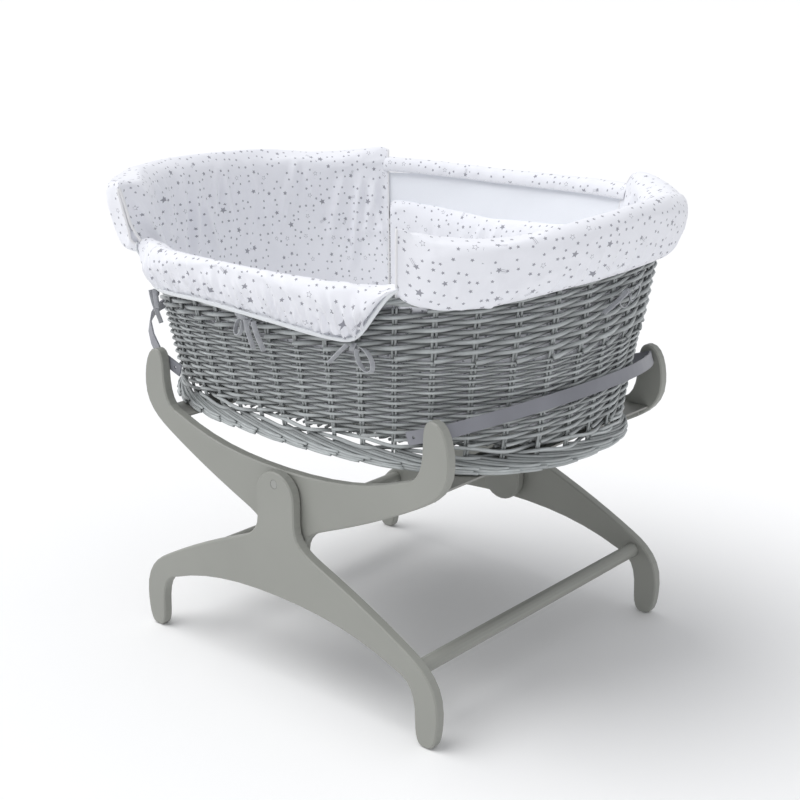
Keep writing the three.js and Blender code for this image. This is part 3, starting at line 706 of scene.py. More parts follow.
def make_base(material):
    """Woven base: lengthwise sticks with rods woven across them."""
    rods = Rods()
    lo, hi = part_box("basket_base")
    middle = (lo.z + hi.z) / 2
    half_length, half_width = hi.x, hi.y

    def reach(share):
        return (1 - abs(share) ** OVAL_POWER) ** (1 / OVAL_POWER)

    sticks = 13
    pitch = 2 * half_width / (sticks + 1)
    for i in range(sticks):
        y = (i - (sticks - 1) / 2) * pitch
        end = half_length * reach(y / half_width) - 0.002
        line = np.stack([np.linspace(-end, end, 30), np.full(30, y), np.full(30, middle)], -1)
        rods.add(line, 0.0027, UP, RNG.uniform(0.2, 0.8))
    rows = 104
    for j in range(rows):
        x = (j - (rows - 1) / 2) * 2 * half_length / (rows + 1)
        end = half_width * reach(x / half_length) - 0.002
        if end < pitch:
            continue
        y = np.linspace(-end, end, max(12, int(end / pitch * 10)))
        wave = np.cos(math.pi * (y / pitch + j))
        z = middle + 0.0028 * wave
        line = np.stack([np.full(len(y), x), y, z], -1)
        rods.add(line, 0.0023, UP, RNG.uniform(0.1, 0.9), sides=6)
    return rods.build("base_weave", material)


def make_bassinet():
    rods = willow()
    lower = make_rand("rand_lower", *RANDS[0], rods)
    upper = make_rand("rand_upper", *RANDS[1], rods)
    wale = make_wale(rods)
    stakes = make_stakes(rods)
    foot = make_foot_border(rods)
    rim = make_rim_rope(rods)
    base = make_base(rods)
    for piece in (lower, upper, wale, stakes, foot, rim, base):
        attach(piece, "basket")
    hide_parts("willow_wall")
    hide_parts("foot_border")
    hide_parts("rim_border")
    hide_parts("basket_base")


# ---------------------------------------------------------------- padded liner

GRID = 0.0058  # size of the cloth grid before it is smoothed
DEGREE = math.pi / 180
END_FADE = 0.030  # how far from a panel's ends the two arms of its section are drawn together
PRINT_STRETCH = 1.06  # length of the padding's face over the wall's, along the oval

# Sections of the padding from its outer hem over the rim and down inside, as (offset, height).
# The face is the printed cloth, and the back is the lining that rests on the willow.
COVER_FACE = [(0.005, 0.592), (0.013, 0.5905), (0.023, 0.595), (0.0285, 0.610), (0.0305, 0.640),
              (0.0290, 0.664), (0.0235, 0.682), (0.012, 0.692), (-0.002, 0.694), (-0.014, 0.690),
              (-0.0225, 0.680), (-0.0265, 0.664), (-0.0262, 0.620), (-0.0245, 0.560), (-0.0240, 0.403)]
COVER_BACK = [(0.006, 0.5945), (0.0085, 0.603), (0.0085, 0.620), (0.0085, 0.645), (0.0075, 0.668),
              (0.0045, 0.679), (0.000, 0.683), (-0.005, 0.6835), (-0.0095, 0.682), (-0.0135, 0.677),
              (-0.0145, 0.665), (-0.0130, 0.620), (-0.0115, 0.560), (-0.0110, 0.480), (-0.0110, 0.403)]
SIDE_FACE = [(0.005, 0.541), (0.012, 0.5395), (0.0185, 0.545), (0.0225, 0.560), (0.0235, 0.578),
             (0.0205, 0.594), (0.013, 0.6035), (0.004, 0.6075), (-0.006, 0.6080), (-0.0165, 0.604),
             (-0.0235, 0.595), (-0.0262, 0.580), (-0.0255, 0.550), (-0.0240, 0.480), (-0.0240, 0.403)]
SIDE_BACK = [(0.006, 0.5435), (0.0085, 0.551), (0.0085, 0.565), (0.0085, 0.578), (0.0075, 0.588),
             (0.0045, 0.5955), (0.000, 0.599), (-0.005, 0.5995), (-0.0095, 0.598), (-0.0135, 0.593),
             (-0.0145, 0.582), (-0.0130, 0.570), (-0.0115, 0.540), (-0.0110, 0.480), (-0.0110, 0.403)]
BAND_FACE = [(0.0050, 0.6515), (0.0062, 0.6505), (0.0085, 0.658), (0.0075, 0.668), (0.002, 0.675),
             (-0.006, 0.6765), (-0.0140, 0.673), (-0.0180, 0.665), (-0.0180, 0.656), (-0.0130, 0.650)]
BAND_BACK = [(0.0035, 0.6515), (0.0025, 0.655), (0.0020, 0.662), (0.000, 0.668), (-0.005, 0.671),
             (-0.010, 0.669), (-0.012, 0.662), (-0.0120, 0.656), (-0.0120, 0.653), (-0.0118, 0.6515)]
BAND_HEM = [(46.7, 0.662), (70.0, 0.657), (95.0, 0.652), (113.0, 0.653), (134.3, 0.660)]
BAND_CREST = [(46.7, 0.684), (73.0, 0.681), (96.0, 0.681), (114.0, 0.684), (134.3, 0.688)]

# Where the four panels start and end, in degrees round the oval from the foot end. The ends of
# the two covers lap a little over the near flap.
FOOT_COVER = (-47.4, 48.3)
FAR_SIDE = (48.7, 132.3)
HEAD_COVER = (132.7, 224.9)
NEAR_FLAP = (224.2, 313.0)

# Heights of the hem and of the crest, by angle in degrees
FOOT_HEM = [(-47.4, 0.597), (-46.4, 0.590), (-43.8, 0.584), (-40.2, 0.580), (-35.5, 0.579),
            (-29.8, 0.583), (-26.0, 0.588), (-20.8, 0.5945), (-14.5, 0.600), (-4.5, 0.6035),
            (9.5, 0.606), (20.0, 0.603), (32.0, 0.592), (41.0, 0.583), (45.5, 0.584), (47.2, 0.590),
            (48.3, 0.600)]
HEAD_HEM = [(132.7, 0.600), (133.9, 0.590), (135.6, 0.584), (140.0, 0.582), (150.0, 0.588),
            (180.0, 0.602), (205.0, 0.590), (217.0, 0.583), (222.5, 0.584), (224.0, 0.589),
            (224.9, 0.597)]
FLAP_HEM = [(224.2, 0.600), (225.3, 0.578), (226.8, 0.550), (228.6, 0.536), (232.0, 0.5345),
            (252.0, 0.542), (267.5, 0.5385), (282.0, 0.5335), (293.0, 0.527), (300.0, 0.5245),
            (302.5, 0.5255), (304.5, 0.533), (306.5, 0.551), (309.0, 0.577), (311.0, 0.597),
            (313.0, 0.607)]
FAR_HEM = [(48.7, 0.549), (55.0, 0.545), (90.0, 0.543), (125.0, 0.545), (132.3, 0.549)]
FOOT_CREST = [(-47.4, 0.690), (-45.0, 0.680), (-40.0, 0.676), (-30.0, 0.677), (-20.0, 0.683),
              (-10.0, 0.689), (0.0, 0.694), (10.0, 0.696), (20.0, 0.693), (30.0, 0.692), (38.0, 0.696),
              (43.5, 0.700), (48.3, 0.702)]
HEAD_CREST = [(132.7, 0.702), (137.0, 0.699), (149.0, 0.696), (163.0, 0.697), (174.0, 0.698),
              (185.0, 0.699), (205.0, 0.698), (216.0, 0.692), (224.9, 0.691)]
FLAP_CREST = [(224.2, 0.610), (235.0, 0.608), (300.0, 0.606), (313.0, 0.610)]
FAR_CREST = [(48.7, 0.614), (60.0, 0.606), (72.0, 0.604), (96.0, 0.601), (116.0, 0.605), (126.0, 0.611),
             (132.3, 0.619)]
# How much further out or in than its section the outer side of a cover stands
FOOT_SWELL = [(-47.4, 0.003), (-40.0, 0.001), (-25.0, -0.001), (0.0, -0.005), (25.0, -0.006),
              (48.3, 0.0)]
HEAD_SWELL = [(132.7, 0.0), (190.0, 0.0), (208.0, 0.006), (219.0, 0.015), (224.9, 0.018)]


def by_angle(table, degrees):
    places, values = zip(*table)
    return np.interp(degrees, places, values)


def even(points, count):
    """The line resampled at even steps."""
    points = np.asarray(points, float)
    length = lengths_along(points)
    at = np.linspace(0, length[-1], count)
    return np.stack([np.interp(at, length, points[:, k]) for k in range(points.shape[1])], -1)


def rounded(points, count, rounds):
    """The line resampled at even steps, with its corners rounded off."""
    line = even(points, count)
    for _ in range(rounds):
        line[1:-1] = (line[:-2] + 2 * line[1:-1] + line[2:]) / 4
    return even(line, count)


def panel_grid(face, back, span, hem, crest, swell=None, end_pinch=0.024, end_lift=0.0, close=None):
    """Grids of the face and back of a padded panel, as columns round the oval of rows along its
    section, with the angles of the columns and the row of the crest. The section's first point
    is its hem. `close` draws the two arms of the section together towards each end of the panel:
    by what share, and to which offset."""
    close = close or ((0, 0), (0, 0))
    hem0, crest0 = face[1][1], max(z for _, z in face)
    start, stop = (length_at(a * DEGREE) for a in span)
    columns = int(round((stop - start) / GRID)) + 1
    lengths = np.linspace(start, stop, columns)
    angles = angle_at(lengths)
    degrees = np.degrees(angles)
    size = np.linalg.norm(np.diff(np.array(face), axis=0), axis=1).sum()
    rows = int(round(size / GRID)) + 1
    template = [rounded(face, rows, 5), rounded(back, rows, 3)]
    top = int(template[0][:, 1].argmax())
    hem_z, crest_z = by_angle(hem, degrees), by_angle(crest, degrees)
    out = by_angle(swell, degrees) if swell else np.zeros(columns)
    edge = np.minimum(lengths - start, stop - lengths)
    shares = [
        share * np.exp(-((away / END_FADE) ** 2))
        for (share, _), away in zip(close, (lengths - start, stop - lengths))
    ]
    goals = [goal for _, goal in close]
    low = crest0 - 0.13
    sheets = []
    for line in template:
        offset = np.repeat(line[None, :, 0], columns, 0)
        z = np.repeat(line[None, :, 1], columns, 0)
        outer = hem_z[:, None] + (z - hem0) / (crest0 - hem0) * (crest_z - hem_z)[:, None]
        inner = np.where(z > low, low + (z - low) * ((crest_z - low) / (crest0 - low))[:, None], z)
        offset = offset + out[:, None] * np.clip(offset / 0.02, 0, 1)
        z = np.where(np.arange(rows)[None] <= top, outer, inner)
        upper = np.clip((z - low) / 0.05, 0, 1)
        for share, goal in zip(shares, goals):
            offset = offset + (goal - offset) * upper * share[:, None]
        sheets.append([offset, z])
    t = np.clip(edge / end_pinch, 0, 1)
    fullness = 0.08 + 0.92 * np.sqrt(1 - (1 - t) ** 2)
    middle = [(f + b) / 2 for f, b in zip(*sheets)]
    grids = []
    for sheet in sheets:
        offset, z = (m + (v - m) * fullness[:, None] for m, v in zip(middle, sheet))
        raised = np.clip((z - crest0 + 0.06) / 0.06, 0, 1) * end_lift * np.exp(-edge / 0.02)[:, None]
        grids.append(oval(angles[:, None], offset, z + raised))
    return grids[0], grids[1], angles, top


def quilt_mesh(name, face, back, angles, top, material):
    """Closed mesh of a padded panel, mapped in metres so that the print keeps its scale."""
    columns, rows = face.shape[:2]
    ring = 2 * rows
    points = np.concatenate([face, back[:, ::-1]], axis=1).reshape(-1, 3)
    v = lengths_along(face.mean(0))
    v = v - v[top]
    v = np.concatenate([v, v[::-1] + 3.0])
    u = length_at(angles) * PRINT_STRETCH
    uvs = grid_uvs(u, np.append(v, v[0]))
    faces, extra = grid_quads(columns, ring).tolist(), []
    for column, order in ((0, 1), (columns - 1, -1)):
        for r in range(rows - 1):
            cap = [r, r + 1, ring - 2 - r, ring - 1 - r][::-order]
            faces.append([column * ring + c for c in cap])
            extra += [(u[column], v[c]) for c in cap]
    uvs = np.concatenate([uvs, np.array(extra)])
    ends = np.clip(np.minimum(np.arange(columns), np.arange(columns)[::-1]) / 3, 0, 1)
    edges = np.clip(np.minimum(np.arange(rows), np.arange(rows)[::-1]) / 2, 0, 1)
    loose = np.zeros((columns, ring))
    loose[:, :rows] = ends[:, None] * edges[None]
    values = {
        "u": np.repeat(length_at(angles)[:, None], ring, 1),
        "v": np.repeat(v[None, :], columns, 0),
        "loose": loose,
    }
    return mesh_object(name, points, faces, material, uvs, values=values)


def creases(u, v, spots):
    """How far the face is drawn in along its creases, for points at length `u` round the oval and
    distance `v` along the section from the crest. A spot is (u and v of its middle, half length,
    half width, depth, lean)."""
    push = np.zeros(len(u))
    for u0, v0, reach, width, depth, lean in spots:
        beside = np.abs(u - u0) < 4 * width + abs(lean) * reach
        near = np.flatnonzero(beside & (np.abs(v - v0) < reach))
        across = (u[near] - u0 - lean * (v[near] - v0)) / width
        along = 1 - ((v[near] - v0) / reach) ** 2
        ridge = 0.45 * np.exp(-((np.abs(across) - 1.8) ** 2))
        push[near] += depth * (np.exp(-(across**2)) - ridge) * along**1.2
    return push


def sew_creases(thing, spots):
    """Makes the mesh finer, then draws the face of a quilt in, or lets it stand proud, along its
    normals."""
    modifier = thing.modifiers.new("smooth", "SUBSURF")
    modifier.levels = 1
    rough = thing.data
    depsgraph = bpy.context.evaluated_depsgraph_get()
    fine = bpy.data.meshes.new_from_object(thing.evaluated_get(depsgraph))
    thing.modifiers.remove(modifier)
    thing.data = fine
    bpy.data.meshes.remove(rough)
    count = len(fine.vertices)
    numbers = {}
    for key in ("u", "v", "loose"):
        numbers[key] = np.zeros(count, np.float32)
        fine.attributes[key].data.foreach_get("value", numbers[key])
    points, normals = np.zeros(count * 3, np.float32), np.zeros(count * 3, np.float32)
    fine.vertices.foreach_get("co", points)
    fine.vertex_normals.foreach_get("vector", normals)
    push = creases(numbers["u"], numbers["v"], spots) * numbers["loose"]
    points -= (normals.reshape(-1, 3) * push[:, None]).ravel()
    fine.vertices.foreach_set("co", points)
    fine.update()


CLOTH_PRESSURE = 4.0
CLOTH_GROWTH = 0.02  # share by which the cloth is cut larger than its filling
CLOTH_SHIFT = 0.004  # the furthest that a point of the cloth may move
CLOTH_FRAMES = 16


def settle(thing, pinned):
    """Blows the cloth up round its filling, with the pinned points held by its seams."""
    mesh = thing.data
    rest = np.zeros(len(mesh.vertices) * 3, np.float32)
    mesh.vertices.foreach_get("co", rest)
    group = thing.vertex_groups.new(name="sewn")
    group.add([int(i) for i in pinned], 1.0, "REPLACE")
    cloth = thing.modifiers.new("cloth", "CLOTH")
    settings = cloth.settings
    settings.quality = 6
    settings.mass = 0.12
    settings.tension_stiffness = 30
    settings.compression_stiffness = 12
    settings.shear_stiffness = 8
    settings.bending_stiffness = 0.35
    settings.use_pressure = True
    settings.uniform_pressure_force = CLOTH_PRESSURE
    settings.shrink_min = -CLOTH_GROWTH
    settings.vertex_group_mass = group.name
    settings.effector_weights.gravity = 0
    cloth.collision_settings.use_collision = False
    scene = bpy.context.scene
    cloth.point_cache.frame_start = 1
    cloth.point_cache.frame_end = CLOTH_FRAMES
    for frame_number in range(1, CLOTH_FRAMES + 1):
        scene.frame_set(frame_number)
    depsgraph = bpy.context.evaluated_depsgraph_get()
    settled = thing.evaluated_get(depsgraph).to_mesh()
    moved = np.zeros(len(mesh.vertices) * 3, np.float32)
    settled.vertices.foreach_get("co", moved)
    thing.evaluated_get(depsgraph).to_mesh_clear()
    thing.modifiers.remove(cloth)
    shift = (moved - rest).reshape(-1, 3)
    size = np.linalg.norm(shift, axis=1, keepdims=True)
    shift *= CLOTH_SHIFT * np.tanh(size / CLOTH_SHIFT) / np.maximum(size, 1e-9)
    mesh.vertices.foreach_set("co", (rest + shift.ravel()).astype(np.float32))
    mesh.update()
    scene.frame_set(1)


def sewn_points(columns, rows):
    """The points of a quilt mesh that seams or the willow hold: all but the face's inside."""
    ring = 2 * rows
    index = np.arange(columns * ring).reshape(columns, ring)
    held = np.ones((columns, ring), bool)
    held[1:-1, 1 : rows - 4] = False
    return index[held]


def hem_gathers(span, v0, spacing, depth, lean, reach=0.035):
    """Creases side by side along a hem, unevenly spaced."""
    start, stop = (length_at(a * DEGREE) for a in span)
    spots, at = [], start + spacing
    while at < stop - spacing * 0.7:
        spots.append(
            (
                at,
                v0 + RNG.uniform(-0.006, 0.006),
                reach * RNG.uniform(0.6, 1.3),
                spacing * RNG.uniform(0.22, 0.34),
                depth * RNG.uniform(0.3, 1.0),
                lean * RNG.uniform(0.2, 1.6),
            )
        )
        at += spacing * RNG.uniform(0.75, 1.3)
    return spots


def wall_folds(span, spacing, depth):
    """Long soft folds that run down the inside of the padding below the crest."""
    start, stop = (length_at(a * DEGREE) for a in span)
    spots, at = [], start + spacing * 0.5
    while at < stop - spacing * 0.4:
        reach = RNG.uniform(0.04, 0.09)
        spots.append(
            (
                at,
                reach + RNG.uniform(0.012, 0.05),
                reach,
                spacing * RNG.uniform(0.20, 0.36),
                depth * RNG.uniform(0.3, 1.0),
                RNG.uniform(-0.35, 0.35),
            )
        )
        at += spacing * RNG.uniform(0.6, 1.4)
    return spots


def make_panel(name, material, face, back, span, hem, crest, swell, spots, end_lift=0.0, close=None):
    face_grid, back_grid, angles, top = panel_grid(
        face, back, span, hem, crest, swell, end_lift=end_lift, close=close
    )
    panel = quilt_mesh(name, face_grid, back_grid, angles, top, material)
    columns, rows = face_grid.shape[:2]
    settle(panel, sewn_points(columns, rows))
    sew_creases(panel, spots)
    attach(panel, "basket")
    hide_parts(name.replace("_quilt", ""))
    return {"face": face_grid, "back": back_grid, "angles": angles, "top": top}


def make_liner():
    cloth = star_cotton("star_cotton", srgb(240, 241, 247), srgb(146, 147, 156))
    panels = {
        "foot": make_panel(
            "liner_foot_quilt", cloth, COVER_FACE, COVER_BACK, FOOT_COVER, FOOT_HEM, FOOT_CREST, FOOT_SWELL,
            hem_gathers((-40, 44), -0.085, 0.020, 0.0036, 0.15, 0.030)
            + wall_folds(FOOT_COVER, 0.036, 0.0065),
            0.004, ((0.85, 0.012), (0.6, -0.004)),
        ),
        "head": make_panel(
            "liner_head_quilt", cloth, COVER_FACE, COVER_BACK, HEAD_COVER, HEAD_HEM, HEAD_CREST, HEAD_SWELL,
            hem_gathers((136, 215), -0.085, 0.020, 0.0036, 0.15, 0.030)
            + wall_folds(HEAD_COVER, 0.030, 0.0088),
            0.004, ((0.6, -0.004), (0.92, 0.024)),
        ),
        "flap": make_panel(
            "liner_near_flap_quilt", cloth, SIDE_FACE, SIDE_BACK, NEAR_FLAP, FLAP_HEM, FLAP_CREST, None,
            hem_gathers((227, 307), -0.052, 0.0125, 0.0058, -0.25, 0.032)
            + hem_gathers((227, 300), -0.030, 0.024, 0.0030, -0.5, 0.028)
            + wall_folds(NEAR_FLAP, 0.030, 0.0025),
        ),
        "far": make_panel(
            "liner_far_side_quilt", cloth, SIDE_FACE, SIDE_BACK, FAR_SIDE, FAR_HEM, FAR_CREST, None,
            hem_gathers((50, 130), -0.052, 0.0125, 0.0034, 0.25, 0.028)
            + wall_folds(FAR_SIDE, 0.024, 0.0045),
        ),
    }
    return panels, cloth


GUSSET_ROWS = 26
GUSSET_COLUMNS = 9
GUSSET_THICK = 0.0012


def make_gussets(panels, cloth):
    """Ends of the two covers, closed between their outer and inner arms."""
    for name, column in (("foot", 0), ("foot", -1), ("head", 0), ("head", -1)):
        back = panels[name]["back"][column]
        top = panels[name]["top"]
        outer = back[: top + 1]
        inner = back[top:]
        low = outer[0][2]
        inner = inner[inner[:, 2] >= low - 0.002]
        left, right = even(outer, GUSSET_ROWS), even(inner[::-1], GUSSET_ROWS)
        share = np.linspace(0, 1, GUSSET_COLUMNS)[None, :, None]
        grid = left[:, None] * (1 - share) + right[:, None] * share
        inward = 1 if column == 0 else -1
        sag = 0.004 * np.sin(share * math.pi) * np.ones((GUSSET_ROWS, 1, 1))
        _, along, out = wall_axes(panels[name]["angles"][column], 0.0, 0.6)
        grid = grid + along * inward * (sag + GUSSET_THICK)
        quads = grid_quads(GUSSET_ROWS, GUSSET_COLUMNS, closed=False)
        if inward > 0:
            quads = quads[:, ::-1]
        points = grid.reshape(-1, 3)
        uvs = np.stack([points[quads.ravel()] @ out, points[quads.ravel(), 2]], -1)
        end = "start" if column == 0 else "end"
        gusset = mesh_object(f"liner_{name}_gusset_{end}", points, quads, cloth, uvs)
        thick = gusset.modifiers.new("thickness", "SOLIDIFY")
        thick.thickness = GUSSET_THICK
        thick.offset = 0.0
        smooth = gusset.modifiers.new("smooth", "SUBSURF")
        smooth.levels = 1
        smooth.render_levels = 1
        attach(gusset, "basket")


FLAP_SEAM_FROM = 0.130  # the seam of the binding shows from here to the flap's corner


def make_trims(panels):
    """Piping along the seams of the panels, and the binding round the hem of the folded flap."""
    pale = plain_cloth("binding_cloth", srgb(232, 235, 238), "rod")
    grey = plain_cloth("piping_cloth", srgb(176, 179, 187), "rod")
    white = plain_cloth("piping_white", srgb(238, 238, 240), "rod")
    flap = panels["flap"]["face"]
    crest = panels["flap"]["top"]
    edge = np.concatenate([flap[1][3 : crest - 3][::-1], flap[2:, 2]])
    path = rounded(edge, 240, 10)
    out = unit(path * [1, 1, 0])
    binding = Rods()
    binding.add(path + out * 0.0026, 0.0029, out, 0.5, 14, 0.55)
    strip = binding.build("flap_binding", pale)
    inward = unit(np.cross(np.gradient(path, axis=0), out))
    inward *= np.sign((inward * UP).sum(1).sum())
    line = path + out * 0.0042 + inward * 0.0034
    corner = (path[:, 0] > FLAP_SEAM_FROM) & (path[:, 2] < path[:, 2].max() - 0.004)
    cord = Rods()
    cord.add(line[corner], 0.0007, out[corner], 0.5, 8)
    piping = cord.build("flap_piping", grey)
    pieces = [strip, piping]
    for name, line, surface, radius in (
        ("head_far_piping", panels["head"]["face"][0], white, 0.0016),
        ("head_near_piping", panels["head"]["face"][-1], white, 0.0022),
        ("foot_near_piping", panels["foot"]["face"][0], white, 0.0017),
        ("foot_far_piping", panels["foot"]["face"][-1], white, 0.0012),
    ):
        tube = Rods()
        tube.add(rounded(line, 160, 2), radius, UP * 0.3 + unit(line.mean(0) * [1, 1, 0]), 0.5, 8)
        pieces.append(tube.build(name, surface))
    for piece in pieces:
        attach(piece, "basket")


WINDOW_COLUMNS = 130
WINDOW_ROWS = 12
WINDOW_Z = (0.592, 0.658)
WINDOW_OFFSET = -0.0075
WINDOW_LAP = 2.0  # degrees by which it runs on under the two covers


def make_window(print_cloth):
    """Sheer panel along the far side, and the padded band that holds it up."""
    start, stop = FAR_SIDE[0] - WINDOW_LAP, FAR_SIDE[1] + WINDOW_LAP
    angles = np.linspace(start, stop, WINDOW_COLUMNS) * DEGREE
    heights = np.linspace(*WINDOW_Z, WINDOW_ROWS)
    ripple = 0.0010 * np.sin(np.linspace(0, 19, WINDOW_COLUMNS))
    sway = ripple[:, None] * np.sin(np.linspace(0, math.pi, WINDOW_ROWS))[None]
    points = oval(angles[:, None], WINDOW_OFFSET + sway, heights[None]).reshape(-1, 3)
    quads = grid_quads(WINDOW_COLUMNS, WINDOW_ROWS, closed=False)
    uvs = grid_uvs(length_at(angles), heights)
    window = mesh_object("far_window_sheet", points, quads, window_cloth(), uvs)
    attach(window, "basket")
    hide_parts("far_window")
    grids = panel_grid(BAND_FACE, BAND_BACK, (start, stop), BAND_HEM, BAND_CREST, end_pinch=0.008)
    spots = hem_gathers((start, stop), 0.018, 0.028, 0.0012, 0.1, 0.02)
    band = quilt_mesh("far_top_band_quilt", *grids, print_cloth)
    sew_creases(band, spots)
    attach(band, "basket")
    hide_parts("far_top_band")


def window_cloth():
    material = new_material("window_cloth")
    set_base(material, srgb(240, 243, 249), 0.8)
    n = Nodes(material)
    flat = n.uv("cloth")
    knit = n.noise(n.scaled(flat, (1900, 1900, 1)), 1, 1)
    tones = [(0.3, srgb(235, 239, 246)), (0.6, srgb(244, 246, 251))]
    n.drive("Base Color", n.ramp(knit, tones))
    n.drive("Normal", n.bump(knit, 0.3, 0.0004))
    return material


# ---------------------------------------------------------------- mattress


def make_mattress():
    lo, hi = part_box("mattress")
    half = np.array([hi.x - 0.002, hi.y - 0.002])
    columns = 220
    angles = np.linspace(0, math.tau, columns, endpoint=False)

    def ring(inset, z):
        a, b = half[0] - inset, half[1] - inset
        c = np.abs(np.cos(angles) / a) ** OVAL_POWER
        s = np.abs(np.sin(angles) / b) ** OVAL_POWER
        r = (c + s) ** (-1 / OVAL_POWER)
        return np.stack([r * np.cos(angles), r * np.sin(angles), np.full(columns, z)], -1)

    depth = hi.z - lo.z
    side = [(0.012, lo.z + 0.0005), (0.003, lo.z + 0.001), (0.0, lo.z + 0.004), (-0.0005, lo.z + depth * 0.5),
            (0.0, hi.z - 0.006), (0.0035, hi.z - 0.0022), (0.012, hi.z - 0.0012)]
    for inset in np.linspace(0.026, half[1] - 0.004, 26):
        side.append((inset, hi.z - 0.0010))
    rings = [ring(inset, z) for inset, z in side]
    bottom = [ring(inset, lo.z + 0.0003) for inset in np.linspace(half[1] - 0.004, 0.03, 8)]
    rings = bottom + rings
    points = np.concatenate(rings)
    quilting = 0.0009 * (np.abs(np.sin(points[:, 0] * 42)) ** 0.5 - 1)
    on_top = points[:, 2] > hi.z - 0.0018
    points[on_top, 2] += quilting[on_top]
    count = len(rings)
    faces = grid_quads(count, columns).tolist()
    faces.append(list(range(columns))[::-1])
    faces.append([(count - 1) * columns + c for c in range(columns)])
    corners = np.concatenate([np.array(f) for f in faces])
    uvs = points[corners][:, :2] + points[corners][:, 2:] * [0.7, 0.7]
    cloth = plain_cloth("mattress_cloth", srgb(240, 240, 236))
    pad = mesh_object("mattress_pad", points, faces, cloth, uvs)
    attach(pad, "mattress")
    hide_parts("mattress")
    piping = Rods()
    for z in (lo.z + 0.0042, hi.z - 0.0042):
        piping.add(np.concatenate([ring(0.0008, z), ring(0.0008, z)[:1]]), 0.0014, UP, 0.5, 6)
    edge = piping.build("mattress_piping", plain_cloth("mattress_piping", srgb(225, 225, 222), "rod"))
    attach(edge, "mattress")


# ---------------------------------------------------------------- ribbon ties

RIBBON_WIDTH = 0.007
RIBBON_THICK = 0.0012
TIE_OFFSET = 0.008  # back of a knot to the willow wall
TAIL_OFFSET = 0.016  # wall to the middle of a tail
TAIL_RISE = 0.004  # start of a tail above the middle of its knot
# Angle round the oval, height of the knot, and tails: shift along the wall, drop and drift
TIES = {
    "tie_head": (224, 0.526, [(-0.006, 0.050, 0.004)]),
    "tie_middle": (270, 0.530, [(-0.002, 0.042, 0.003), (0.013, 0.042, 0.008)]),
    "tie_corner": (303, 0.522, [(-0.008, 0.030, -0.030)]),
    "tie_foot": (1, 0.580, [(-0.008, 0.022, -0.046)]),
}
# Direction across each tail, as shares along and out of the wall
TAIL_FACING = {"tie_head": (0.20, -0.98), "tie_middle": (0.75, -0.66), "tie_corner": (0.86, -0.50),
               "tie_foot": (0.66, 0.75)}
# Loops of each knot: centre across and up, half width, half height, turn and twist in degrees
LOOPS = {
    "tie_head": [(0.013, -0.005, 0.0045, 0.014, 18, 40)],
    "tie_middle": [(-0.018, -0.009, 0.0075, 0.013, -28, 20)],
    "tie_corner": [(0.018, -0.014, 0.0105, 0.0170, 30, 52)],
    "tie_foot": [(-0.008, -0.007, 0.0085, 0.011, -40, 50), (0.015, -0.002, 0.0105, 0.0070, 60, 50)],
}


def strip_mesh(name, line, across, width, thick, material):
    """Flat ribbon along a line: `across` is the direction of its width at each point."""
    line, across = np.asarray(line, float), np.asarray(across, float)
    tangent = unit(np.gradient(line, axis=0))
    across = unit(across - (across * tangent).sum(1, keepdims=True) * tangent)
    normal = np.cross(tangent, across)
    shape = [(-1, 0), (-0.93, -0.8), (-0.45, -1), (0.45, -1), (0.93, -0.8), (1, 0), (0.93, 0.8), (0.45, 1),
             (-0.45, 1), (-0.93, 0.8)]
    width = np.broadcast_to(np.asarray(width, float), len(line))
    sides = len(shape)
    rings = np.stack(
        [line + across * (a * width / 2)[:, None] + normal * (b * thick / 2) for a, b in shape], 1
    )
    along = lengths_along(line)
    side_v = np.array([a for a, _ in shape] + [shape[0][0]]) * RIBBON_WIDTH / 2
    uvs = grid_uvs(along, side_v)
    faces = grid_quads(len(line), sides).tolist()
    faces += [list(range(sides))[::-1], [(len(line) - 1) * sides + c for c in range(sides)]]
    caps = [(0, side_v[c]) for c in range(sides)][::-1] + [(along[-1], side_v[c]) for c in range(sides)]
    return mesh_object(name, rings.reshape(-1, 3), faces, material, np.concatenate([uvs, caps]), "rod")


def ribbon_cloth():
    """Grosgrain ribbon: fine ribs across and paler selvedges."""
    material = new_material("ribbon")
    set_base(material, srgb(150, 152, 158), 0.7)
    n = Nodes(material)
    parts = n.add("ShaderNodeSeparateXYZ")
    n.join(n.uv("rod"), parts.inputs[0])
    ribs = n.math("SINE", n.math("MULTIPLY", parts.outputs[0], math.tau / 0.0009))
    edge = n.math("GREATER_THAN", n.math("ABSOLUTE", parts.outputs[1]), 0.0028)
    body = n.ramp(n.noise(n.uv("rod"), 120, 3), [(0.3, srgb(150, 152, 157)), (0.7, srgb(170, 172, 176))])
    n.drive("Base Color", n.mix(n.math("MULTIPLY", edge, 0.55), body, srgb(206, 208, 212)))
    n.drive("Normal", n.bump(ribs, 0.35, 0.0002))
    n.shader.inputs["Sheen Weight"].default_value = 0.2
    return material


def make_ties():
    cloth = ribbon_cloth()
    for name, (degrees, knot_z, tails) in TIES.items():
        angle = degrees * DEGREE
        top = knot_z + TAIL_RISE
        for number, (shift, drop, drift) in enumerate(tails, 1):
            start, along, out = wall_axes(angle, TAIL_OFFSET, top)
            end, _, _ = wall_axes(angle, TAIL_OFFSET, top - drop)
            start = start + along * shift
            end = end + along * (shift + drift)
            share = np.linspace(0, 1, 26)[:, None]
            sway = np.sin(share * math.pi * 1.4) * 0.0012
            line = start + (end - start) * share + out * sway
            beside, forward = TAIL_FACING[name]
            turn = 0.16 * np.sin(share * 2.4 + number * 1.7 + degrees)
            across = along * (beside + turn) + out * forward
            piece = strip_mesh(f"{name}_ribbon_{number}", line, across, RIBBON_WIDTH, RIBBON_THICK, cloth)
            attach(piece, "basket")
            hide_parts(f"{name}_tail_{number}")
        place, along, out = wall_axes(angle, TIE_OFFSET + 0.003, knot_z)
        knot = make_knot(name, place, along, out, cloth)
        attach(knot, "basket")
        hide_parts(name)


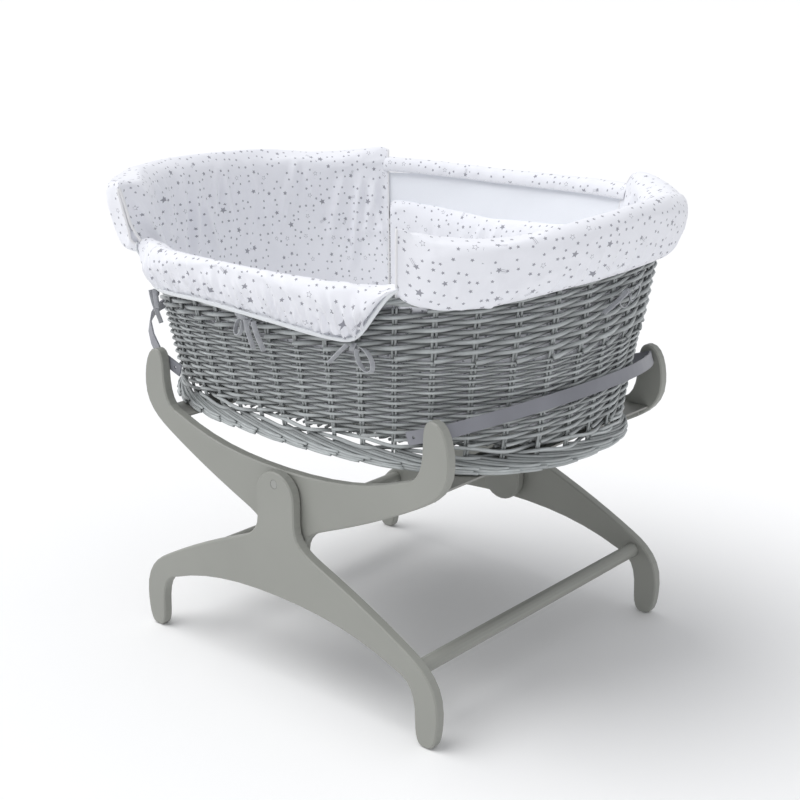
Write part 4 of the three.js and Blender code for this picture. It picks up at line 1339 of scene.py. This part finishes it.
def make_knot(name, place, along, out, cloth):
    """The tied part of a bow: a wrapped knot with its loops, joined into one piece. The ribbon of
    a loop leans by its twist, so that its face shows."""
    parts = []
    for number, (x, y, half_w, half_h, turn, twist) in enumerate(LOOPS[name]):
        t = np.linspace(-0.46, 0.46, 44) * math.tau
        swirl, twist = turn * DEGREE, twist * DEGREE
        local_x, local_y = half_w * np.sin(t), -half_h * np.cos(t)
        px = x + local_x * math.cos(swirl) - local_y * math.sin(swirl)
        py = y + local_x * math.sin(swirl) + local_y * math.cos(swirl)
        pz = 0.0015 + 0.0040 * (0.5 + 0.5 * np.sin(t)) + 0.0008 * number
        line = place + px[:, None] * along + py[:, None] * UP + pz[:, None] * out
        aside = -math.sin(twist) * along + 0.25 * UP
        across = np.repeat((out * math.cos(twist) + aside)[None], len(t), 0)
        width = RIBBON_WIDTH * 0.9
        parts.append(strip_mesh(f"{name}_loop_{number}", line, across, width, RIBBON_THICK, cloth))
    t = np.linspace(0, math.tau, 30)
    line = place + (np.cos(t) * 0.0042)[:, None] * UP + (np.sin(t) * 0.0036)[:, None] * out
    line = line + (0.0012 * np.sin(t * 2))[:, None] * along
    across = np.repeat((along + UP * 0.2)[None], len(t), 0)
    parts.append(strip_mesh(f"{name}_wrap", line, across, RIBBON_WIDTH, 0.0018, cloth))
    if name == "tie_middle":
        share = np.linspace(0, 1, 12)[:, None]
        rise, stand = 0.004 + 0.006 * share, 0.003 + 0.003 * np.sin(share * 3)
        end = place - along * 0.026 * share + UP * rise + out * stand
        wide = RIBBON_WIDTH * (0.9 + 0.5 * share[:, 0])
        across = np.repeat((UP + out * 0.3)[None], len(share), 0)
        parts.append(strip_mesh(f"{name}_end", end, across, wide, RIBBON_THICK, cloth))
    bpy.ops.object.select_all(action="DESELECT")
    for part in parts:
        part.select_set(True)
    bpy.context.view_layer.objects.active = parts[-1]
    bpy.ops.object.join()
    knot = bpy.context.view_layer.objects.active
    knot.name = f"{name}_bow"
    return knot


# ---------------------------------------------------------------- stand


def paint_nodes(material, *prefixes):
    for name, node in NODES.items():
        if name.startswith(prefixes):
            node.data.materials.clear()
            node.data.materials.append(material)


def dress_stand():
    paint_nodes(painted_wood(), "leg_board", "bow_board", "stretcher_head", "stretcher_foot")
    paint_nodes(painted_steel("slat_paint", srgb(146, 146, 141)), "slat_")
    paint_nodes(painted_steel("band_paint", srgb(134, 135, 142)), "band_")
    steel = bright_steel()
    for name, node in NODES.items():
        if "screw" in name or "bolt" in name or "nut" in name:
            node.data.materials.clear()
            node.data.materials.append(steel)
    paint_nodes(plain_plastic("nylon", srgb(225, 225, 220)), "pivot_washer")
    paint_nodes(plain_plastic("cap_plastic", srgb(156, 157, 153)), "pivot_cap")


# ---------------------------------------------------------------- scene

make_camera()
make_ties()
make_light()
make_floor()
dress_stand()
make_bassinet()
panels, star_cloth = make_liner()
make_gussets(panels, star_cloth)
make_trims(panels)
make_window(star_cloth)
make_mattress()
